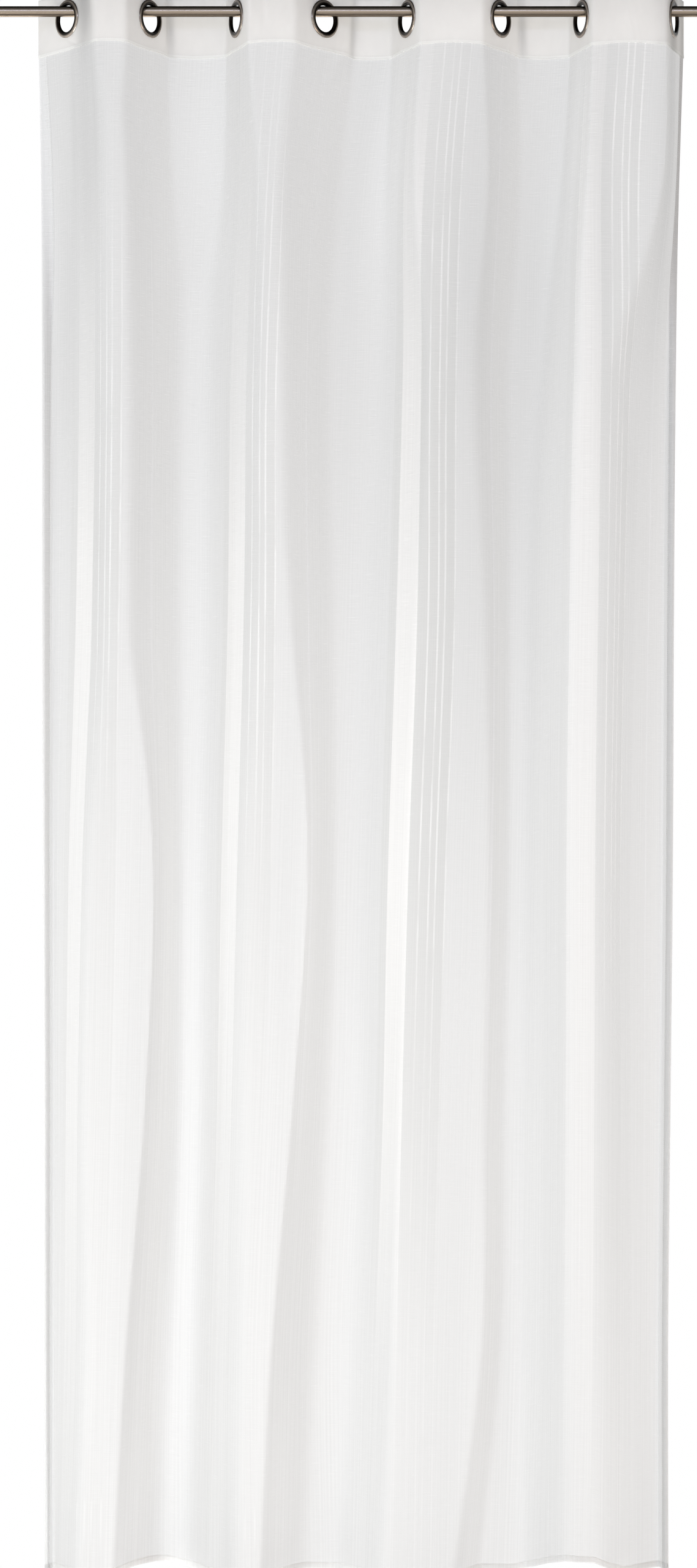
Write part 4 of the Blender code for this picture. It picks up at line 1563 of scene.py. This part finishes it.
@dataclass
class Heading:
    """The doubled and stiffened band that carries the eyelets.

    Attributes:
        cloth: How the cloth hangs.
        top: The height of its upper fold above the rod's axis.
        cut_height: Its height when it lies flat. Not used.
        thickness: Two layers of voile and the stiffener between them.
        seam_swell: How much thicker it is along its lower edge, where the layers are turned in.
        seam_width: How high that thicker edge is.
        columns: Points along the band.
        rows: Points down each face.
        hole: The radius of the holes under the eyelets.
        hole_sides: Corners of each hole.
        punch: How far to either side of the band the punches reach.
        crease: The least angle that shows as an edge, in degrees.
        stitcher: The stitch that is used.
        seam_height: How far above the lower edge the seam runs.
        seam_margin: How far from the band's ends it starts and stops.
        seam_lift: How far off the band the thread's middle lies.
    """

    cloth: HungCloth
    top: float = 0.029
    cut_height: float = 0.086
    thickness: float = 1.5 * MM
    seam_swell: float = 0.9 * MM
    seam_width: float = 3.0 * MM
    columns: int = 521
    rows: int = 33
    hole: float = 22.4 * MM
    hole_sides: int = 64
    punch: float = 0.011
    crease: float = 50
    stitcher: Stitcher = Stitcher()
    seam_height: float = 4.5 * MM
    seam_margin: float = 4 * MM
    seam_lift: float = 0.05 * MM

    def faces_at(self, threads: Array, heights: Array) -> Pair:
        """The band's middle surface and the direction out of its back.

        Args:
            threads: The threads.
            heights: Heights above the rod's axis.

        Returns:
            Points and unit vectors, rows for heights and columns for threads.
        """
        points, _, back = self.cloth.surface(threads, np.zeros(1))
        points, back = (np.repeat(part, len(heights), axis=0) for part in (points, back))
        across, drops = threads[None, :], -heights[:, None]
        points[..., 2] = -drops - self.cloth.lowered(across, drops)
        at_edge = np.full_like(drops, self.cloth.heading_drop)
        rise = sum(
            pucker.rise(across, drops) - pucker.rise(across, at_edge)
            for pucker in self.cloth.puckers
        )
        return points - back * rise[..., None], back

    def half_thickness(self, heights: Array) -> Array:
        """Half the band's thickness: even, with a soft swelling along the lower edge."""
        away = (heights + self.cloth.heading_drop - self.seam_width / 2) / self.seam_width
        return (self.thickness + self.seam_swell * np.exp(-(away**2) * 2)) / 2

    def shell(self, finish: Material) -> Object:
        """The band without its holes: a flat loop round its section, carried along the folds.

        Args:
            finish: The heading's material.

        Returns:
            The closed band.
        """
        threads = np.linspace(0.0, self.cloth.plan.width, self.columns)
        over = self.thickness / 2
        heights = np.linspace(-self.cloth.heading_drop, self.top - over, self.rows)
        half = self.half_thickness(heights)
        turn = np.radians(np.linspace(15, 165, 7))
        path_height = np.concatenate([heights, heights[-1] + over * np.sin(turn), heights[::-1]])
        path_back = np.concatenate([-half, -over * np.cos(turn), half[::-1]])
        middle, back = self.faces_at(threads, path_height)
        points = middle + back * path_back[:, None, None]
        rows, columns = points.shape[:2]
        faces = grid_faces(rows, columns, close_rows=True)[:, ::-1]
        near = np.arange(rows // 2)
        pairs = np.stack([near, near + 1, rows - 2 - near, rows - 1 - near], axis=-1)
        pairs = pairs[pairs[:, 1] < pairs[:, 2]]
        caps = [pairs[:, ::-1] * columns, pairs * columns + columns - 1]
        uv = np.stack(np.broadcast_arrays(threads[None, :], -path_height[:, None]), axis=-1)
        return mesh_object(
            "heading_cloth",
            points.reshape(-1, 3),
            np.vstack([faces, *caps]),
            finish,
            uv.reshape(-1, 2),
            # Painted crease shadows, in the Shade mark.
            {SHADE: self.cloth.shade(self.cloth.painted_crease_shade, uv[..., 0], uv[..., 1])},
        )

    def cut_holes(self, band: Object, places: list[Matrix]) -> None:
        """Cuts the eyelets' holes through the band.

        Args:
            band: The closed band.
            places: Where each eyelet sits, with its axis along its own Z.
        """
        collection = bpy.data.collections.new("hole punches")
        bpy.context.scene.collection.children.link(collection)
        ends = np.array([[self.hole, -self.punch], [self.hole, self.punch]])
        points = revolve(ends, self.hole_sides).reshape(-1, 3).tolist()
        near = np.arange(self.hole_sides)
        after, far = (near + 1) % self.hole_sides, near + self.hole_sides
        walls = np.stack([near, after, after + self.hole_sides, far], axis=-1)
        faces = [*walls.tolist(), near[::-1].tolist(), far.tolist()]
        for number, place in enumerate(places, start=1):
            mesh = bpy.data.meshes.new(f"punch_{number}")
            mesh.from_pydata(points, [], faces)
            mesh.transform(place)
            collection.objects.link(bpy.data.objects.new(f"punch_{number}", mesh))
        punched = band.modifiers.new("Holes", "BOOLEAN")
        punched.operation = "DIFFERENCE"
        punched.operand_type = "COLLECTION"
        punched.collection = collection
        punched.solver = "EXACT"
        bpy.context.view_layer.update()
        graph = bpy.context.evaluated_depsgraph_get()
        mesh = bpy.data.meshes.new_from_object(band.evaluated_get(graph), depsgraph=graph)
        band.modifiers.clear()
        band.data = mesh
        mesh.set_sharp_from_angle(angle=math.radians(self.crease))
        for obj in list(collection.objects):
            bpy.data.objects.remove(obj, do_unlink=True)
        bpy.data.collections.remove(collection)

    def stitching(self, finish: Material) -> Object:
        """The seam along the lower edge, on the front and on the back.

        Args:
            finish: The thread's material.

        Returns:
            The stitches as one object.
        """
        end = self.cloth.plan.width - self.seam_margin
        threads = np.arange(self.seam_margin, end, self.stitcher.pitch)
        height = np.array([self.seam_height - self.cloth.heading_drop])
        points, back = self.faces_at(threads, height)
        lift = float(self.half_thickness(height)[0]) + self.seam_lift
        seams = [self.stitcher.seam(points[0], side * back[0], lift) for side in (-1, 1)]
        obj = self.stitcher.join("heading_stitching", seams, finish)
        return obj

    def build(self, finish: Material, places: list[Matrix]) -> Object:
        """Makes the band with its holes.

        Args:
            finish: The heading's material.
            places: Where each eyelet sits.

        Returns:
            The band, which stands for the heading's solid.
        """
        band = self.shell(finish)
        self.cut_holes(band, places)
        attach(band, "root")
        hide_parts("heading_band")
        log.info("heading_cloth: %d faces", len(band.data.polygons))
        return band


# ---- Eyelets and rod ----


@dataclass
class Eyelets:
    """Two-part pressed eyelets, turned round their axis: a domed shell and a washer behind it.

    Attributes:
        cloth: How the cloth hangs.
        drop: How far below the rod's axis their centres lie.
        bore: The bore's radius.
        flange: The outer radius.
        crown: How far the shell's ridge stands off the band's middle.
        grip: Half the thickness that is left for the band.
        wall: The thickness of the sheet metal.
        roll: How far the bore's edges are rolled outwards.
        roll_share: How high the rolled bore starts, as a share of the crown.
        rim_height: The height of the shell's outer edge.
        rim_break: How far that edge is broken below.
        lip: How far the shell's lip reaches behind the band.
        washer_play: How much further out the washer's inner edge lies than the bore.
        washer_inset: How much further in its outer edge lies than the shell's.
        washer_height: How high it is.
        rim_share: How much of the way from ridge to outer edge the painted rim highlight takes up.
        segments: Steps round the axis.
        arc_steps: Steps round each bend.
        crease: The least angle that shows as an edge, in degrees.
    """

    cloth: HungCloth
    drop: float = 0.0112
    bore: float = 20.0 * MM
    flange: float = 29.0 * MM
    crown: float = 3.2 * MM
    grip: float = 1.35 * MM
    wall: float = 0.5 * MM
    roll: float = 2.4 * MM
    roll_share: float = 0.95
    rim_height: float = 0.25 * MM
    rim_break: float = 0.15 * MM
    lip: float = 0.75 * MM
    washer_play: float = 1.9 * MM
    washer_inset: float = 0.6 * MM
    washer_height: float = 1.0 * MM
    rim_share: float = 0.6
    segments: int = 96
    arc_steps: int = 7
    crease: float = 60

    def places(self) -> list[Matrix]:
        """Where each eyelet sits: at its flank's middle, its axis square to the cloth.

        Returns:
            One matrix for each eyelet, with the room on its +Z side.
        """
        found = []
        for number, flank in enumerate(self.cloth.plan.flanks, start=1):
            steep = math.radians(flank.angle[0]) * (-1 if number % 2 == 1 else 1)
            turn = Matrix.Rotation(steep, 4, "Z") @ Matrix.Rotation(math.pi / 2, 4, "X")
            found.append(Matrix.Translation((flank.across[0], 0.0, -self.drop)) @ turn)
        return found

    def bend(self, centre: Values, size: Values, start: float, end: float) -> Array:
        """Part of an ellipse in the section.

        Args:
            centre: Its middle, as radius and height.
            size: Its half sizes along radius and height.
            start: The angle it starts at, in degrees from outwards.
            end: The angle it ends at.

        Returns:
            Points as radius and height.
        """
        turn = np.radians(np.linspace(start, end, self.arc_steps))
        return np.array(centre) + np.array(size) * np.stack([np.cos(turn), np.sin(turn)], axis=-1)

    def shell_section(self) -> Array:
        """The front part's section: a domed flange, the rolled bore and its lip over the washer.

        Returns:
            A closed loop of radius and height, anticlockwise.
        """
        dome, half = (self.flange + self.bore) / 2, (self.flange - self.bore) / 2
        lip = self.grip + self.lip
        middle = (self.bore + self.roll, 0.0)
        barrel = self.bore + self.wall
        return np.vstack(
            [
                [[self.flange - self.rim_break, self.grip]],
                [[self.flange, self.grip + self.rim_height]],
                self.bend((dome, self.grip), (half, self.crown - self.grip), 12, 110),
                self.bend(middle, (self.roll, self.roll_share * self.crown), 110, 180),
                self.bend(middle, (self.roll, lip), 190, 250),
                self.bend(middle, (self.roll - self.wall, lip - self.wall), 250, 190),
                [[barrel, 0.0], [barrel, self.grip]],
            ]
        )

    def washer_section(self) -> Array:
        """The back part's section: a low ring with a rolled rim.

        Returns:
            A closed loop of radius and height, anticlockwise.
        """
        inner, outer = self.bore + self.washer_play, self.flange - self.washer_inset
        low = -self.grip - self.washer_height
        middle, half = (inner + outer) / 2, (outer - inner) / 2
        return np.vstack(
            [
                [[outer, -self.grip], [inner, -self.grip]],
                self.bend((inner + 0.5 * MM, low + 0.3 * MM), (0.5 * MM, 0.3 * MM), 180, 270),
                self.bend((middle, low), (half - 1.2 * MM, 0.5 * MM), 200, 340),
                self.bend((outer - 0.6 * MM, low + 0.4 * MM), (0.6 * MM, 0.6 * MM), 280, 360),
            ]
        )

    def build(self, finish: GunmetalFinish) -> list[Object]:
        """Makes the eyelets.

        Args:
            finish: Their plating.

        Returns:
            The eyelets, each of which stands for its own solid.
        """
        material = finish.build()
        points, faces, start = [], [], 0
        for section in (self.shell_section(), self.washer_section()):
            quads = grid_faces(len(section), self.segments, close_rows=True, close_columns=True)
            points.append(revolve(section, self.segments).reshape(-1, 3))
            faces.append(quads + start)
            start += len(points[-1])
        points, faces = np.vstack(points), np.vstack(faces)
        # The rim counts from the dome's ridge outwards.
        ridge = (self.bore + self.flange) / 2
        away = np.hypot(points[:, 0], points[:, 1]) - ridge
        rim = np.clip(away / (self.rim_share * (self.flange - ridge)), 0, 1)
        made = []
        for number, place in enumerate(self.places(), start=1):
            turn, middle = np.array(place.to_3x3()), np.array(place.translation)
            placed = points @ turn.T + middle
            marks = {finish.rim: rim}
            obj = mesh_object(f"eyelet_ring_{number}", placed, faces, material, marks=marks)
            obj.data.set_sharp_from_angle(angle=math.radians(self.crease))
            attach(obj, "root")
            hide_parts(f"eyelet_{number}")
            made.append(obj)
        log.info("eyelets: %d of %d faces each", len(made), len(faces))
        return made


@dataclass
class Rod:
    """The plain tube with closed ends.

    Attributes:
        radius: Half its diameter.
        length: Its length.
        chamfer: The broken edge at its ends.
        sides: Steps round it.
        crease: The least angle that shows as an edge, in degrees.
    """

    radius: float = 8 * MM
    length: float = 1.2
    chamfer: float = 0.5 * MM
    sides: int = 96
    crease: float = 30

    def build(self, finish: Material) -> Object:
        """Makes the rod: a profile of radius over length, turned round the X axis.

        Args:
            finish: Its material.

        Returns:
            The rod, which stands for its own solid.
        """
        half, end = self.length / 2, self.radius - self.chamfer
        along = [-half, -half, -half + self.chamfer, half - self.chamfer, half, half]
        wide = [0.0, end, self.radius, self.radius, end, 0.0]
        points = np.roll(revolve(np.array([wide, along]).T, self.sides), 1, axis=-1)
        faces = grid_faces(len(along), self.sides, close_columns=True)[:, ::-1]
        rod = mesh_object("rod_tube", points.reshape(-1, 3), faces, finish)
        close_poles(rod)
        rod.data.set_sharp_from_angle(angle=math.radians(self.crease))
        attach(rod, "root")
        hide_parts("curtain_rod")
        log.info("rod_tube: %d faces", len(rod.data.polygons))
        return rod


def close_poles(obj: Object) -> None:
    """Merges the points that a turned profile leaves on its axis."""
    shape = bmesh.new()
    shape.from_mesh(obj.data)
    bmesh.ops.remove_doubles(shape, verts=shape.verts, dist=1e-6)
    bmesh.ops.recalc_face_normals(shape, faces=shape.faces)
    shape.to_mesh(obj.data)
    shape.free()
    obj.data.shade_smooth()


# ---- The studio ----


@dataclass(frozen=True)
class SoftBox:
    """A large soft lamp.

    Attributes:
        name: Its name.
        place: Where it stands.
        target: The point it faces.
        size: Its width and height.
        power: Its power in watts.
        colour: Its colour.
    """

    name: str
    place: Point
    target: Point
    size: tuple[float, float]
    power: float
    colour: str

    def build(self) -> Object:
        """Makes the lamp, unseen by the camera itself.

        Returns:
            The lamp, linked into the scene.
        """
        data = bpy.data.lights.new(self.name, "AREA")
        data.shape = "RECTANGLE"
        data.size, data.size_y = self.size
        data.energy = self.power
        data.color = linear(self.colour)[:3]
        lamp = bpy.data.objects.new(self.name, data)
        lamp.location = self.place
        aim = Vector(self.target) - Vector(self.place)
        lamp.rotation_euler = aim.to_track_quat("-Z", "Y").to_euler()
        lamp.visible_camera = False
        bpy.context.scene.collection.objects.link(lamp)
        return lamp


@dataclass
class Studio:
    """A plain white room with soft lamps, a pale floor and the camera.

    Attributes:
        camera_place: Where the camera stands, level and square to the rod.
        focal_length: Its lens in millimetres.
        sensor: The long side of its picture in millimetres.
        floor_height: Where the floor lies.
        floor_radius: How far it reaches before it fades out.
        floor_sides: Steps round it.
        floor_colour: Its paint.
        floor_lift: How much brighter it looks to the eye than these few lamps make it.
        room_colour: The light of the room.
        room_fade: Between which heights of the look it changes from its lower to its upper level.
        room_light: Its lower and its upper level.
        bright_side: The way to the brighter side of the room, as long as it is brighter.
        lamps: The soft lamps.
    """

    camera_place: Point = (0.0, -5.3, -1.182)
    focal_length: float = 79.52
    sensor: float = 36.0
    floor_height: float = -2.85
    floor_radius: float = 2.0
    floor_sides: int = 96
    floor_colour: str = "#f2f2f1"
    floor_lift: float = 0.42
    room_colour: str = "#fdfdfd"
    room_fade: Span = (-0.2, 0.8)
    room_light: Span = (1.05, 0.07)
    bright_side: Point = (-0.30, 0.0, 0.0)
    lamps: tuple[SoftBox, ...] = (
        SoftBox("key", (-2.2, -2.3, -2.7), (-0.3, 0.0, -2.3), (2.4, 1.2), 55.0, "#fffffc"),
        SoftBox("warm fill", (3.6, -3.8, -2.9), (0.1, 0.0, -2.3), (3.0, 1.4), 55.0, "#ffe2cc"),
        SoftBox("high strip", (-0.4, -4.2, 0.96), (0.0, 0.0, 0.0), (7.0, 0.20), 32.0, "#c2d0ff"),
        SoftBox("window", (-0.6, 2.5, -2.8), (-0.1, 0.0, -2.3), (3.0, 1.2), 82.0, "#ffffff"),
        SoftBox("side window", (2.2, 2.4, -2.8), (0.1, 0.0, -2.2), (2.0, 1.6), 38.0, "#ffffff"),
    )

    def camera(self) -> None:
        """Sets the camera up at the photograph's viewing angle."""
        data = bpy.data.cameras.new("camera")
        data.lens = self.focal_length
        data.sensor_width = self.sensor
        data.clip_end = 100.0
        camera = bpy.data.objects.new("camera", data)
        camera.location = self.camera_place
        camera.rotation_euler = (math.pi / 2, 0.0, 0.0)
        bpy.context.scene.collection.objects.link(camera)
        bpy.context.scene.camera = camera

    def world(self) -> None:
        """Sets the surroundings: white to the eye, a soft grey to the cloth, darker overhead.

        The light from a direction grows by its dot product with the bright side.
        """
        world = bpy.data.worlds.new("studio")
        bpy.context.scene.world = world
        tree = empty_tree(world)
        look = add_node(tree, "TexCoord").outputs["Generated"]
        up = add_node(tree, "SeparateXYZ", {0: look}).outputs[2]
        look_up = mapped(up, self.room_fade, *self.room_light)
        level = add_node(tree, "MapRange", look_up, interpolation_type="SMOOTHSTEP")
        ways = {0: look, 1: self.bright_side}
        lean = add_node(tree, "VectorMath", ways, operation="DOT_PRODUCT").outputs["Value"]
        lean = add_node(tree, "Math", {0: lean, 1: 1.0}, operation="ADD")
        level = add_node(tree, "Math", {0: level, 1: lean}, operation="MULTIPLY")
        room = {"Color": linear(self.room_colour), "Strength": level}
        seen = {"Color": linear("#ffffff"), "Strength": 1.0}
        sight = add_node(tree, "LightPath").outputs["Is Camera Ray"]
        room, seen = (add_node(tree, "Background", light) for light in (room, seen))
        both = add_node(tree, "MixShader", {0: sight, 1: room, 2: seen})
        add_node(tree, "OutputWorld", {"Surface": both})

    def floor(self) -> None:
        """Lays a round pale floor that fades out towards its rim."""
        material = bpy.data.materials.new("pale studio floor")
        tree = empty_tree(material)
        place = add_node(tree, "TexCoord").outputs["Object"]
        flat = add_node(tree, "VectorMath", {0: place, 1: (1.0, 1.0, 0.0)}, operation="MULTIPLY")
        away = add_node(tree, "VectorMath", {0: flat}, operation="LENGTH").outputs["Value"]
        outer = mapped(away, (0.5 * self.floor_radius, self.floor_radius))
        fade = add_node(tree, "MapRange", outer, interpolation_type="SMOOTHSTEP")
        sight = add_node(tree, "LightPath").outputs["Is Camera Ray"]
        look = {
            "Base Color": linear(self.floor_colour),
            "Roughness": 0.9,
            "Emission Color": linear("#ffffff"),
            "Emission Strength": add_node(
                tree, "Math", {0: sight, 1: self.floor_lift}, operation="MULTIPLY"
            ),
        }
        paint = add_node(tree, "BsdfPrincipled", look)
        clear = add_node(tree, "BsdfTransparent")
        both = add_node(tree, "MixShader", {0: fade, 1: paint, 2: clear})
        add_node(tree, "OutputMaterial", {"Surface": both})
        rings = np.array([[share * self.floor_radius, self.floor_height] for share in (0, 0.5, 1)])
        points = revolve(rings, self.floor_sides).reshape(-1, 3)
        faces = grid_faces(len(rings), self.floor_sides, close_columns=True)
        mesh_object("floor", points, faces, material)

    def build(self) -> None:
        """Makes the whole studio."""
        bpy.context.scene.view_settings.view_transform = "Standard"
        self.camera()
        self.world()
        self.floor()
        for lamp in self.lamps:
            lamp.build()
        log.info("studio: %d lamps", len(self.lamps))


# ---- The whole ----


def main() -> None:
    """Builds the studio and the curtain."""
    logging.basicConfig(level=logging.INFO, format="%(name)s: %(message)s")
    Studio().build()

    cloth = HungCloth()
    sewing = ThreadFinish().build()

    eyelets = Eyelets(cloth)
    eyelets.build(GunmetalFinish())

    heading = Heading(cloth)
    band = heading.build(HeadingFinish().build(cloth.heading_drop), eyelets.places())
    heading_seams = heading.stitching(sewing)

    panel = VoilePanel(cloth)
    sheet = panel.build(VoileFinish())
    hem_seams = HemStitching(panel).build(sewing)

    Rod().build(SatinNickelFinish().build())


if __name__ == "__main__":
    main()
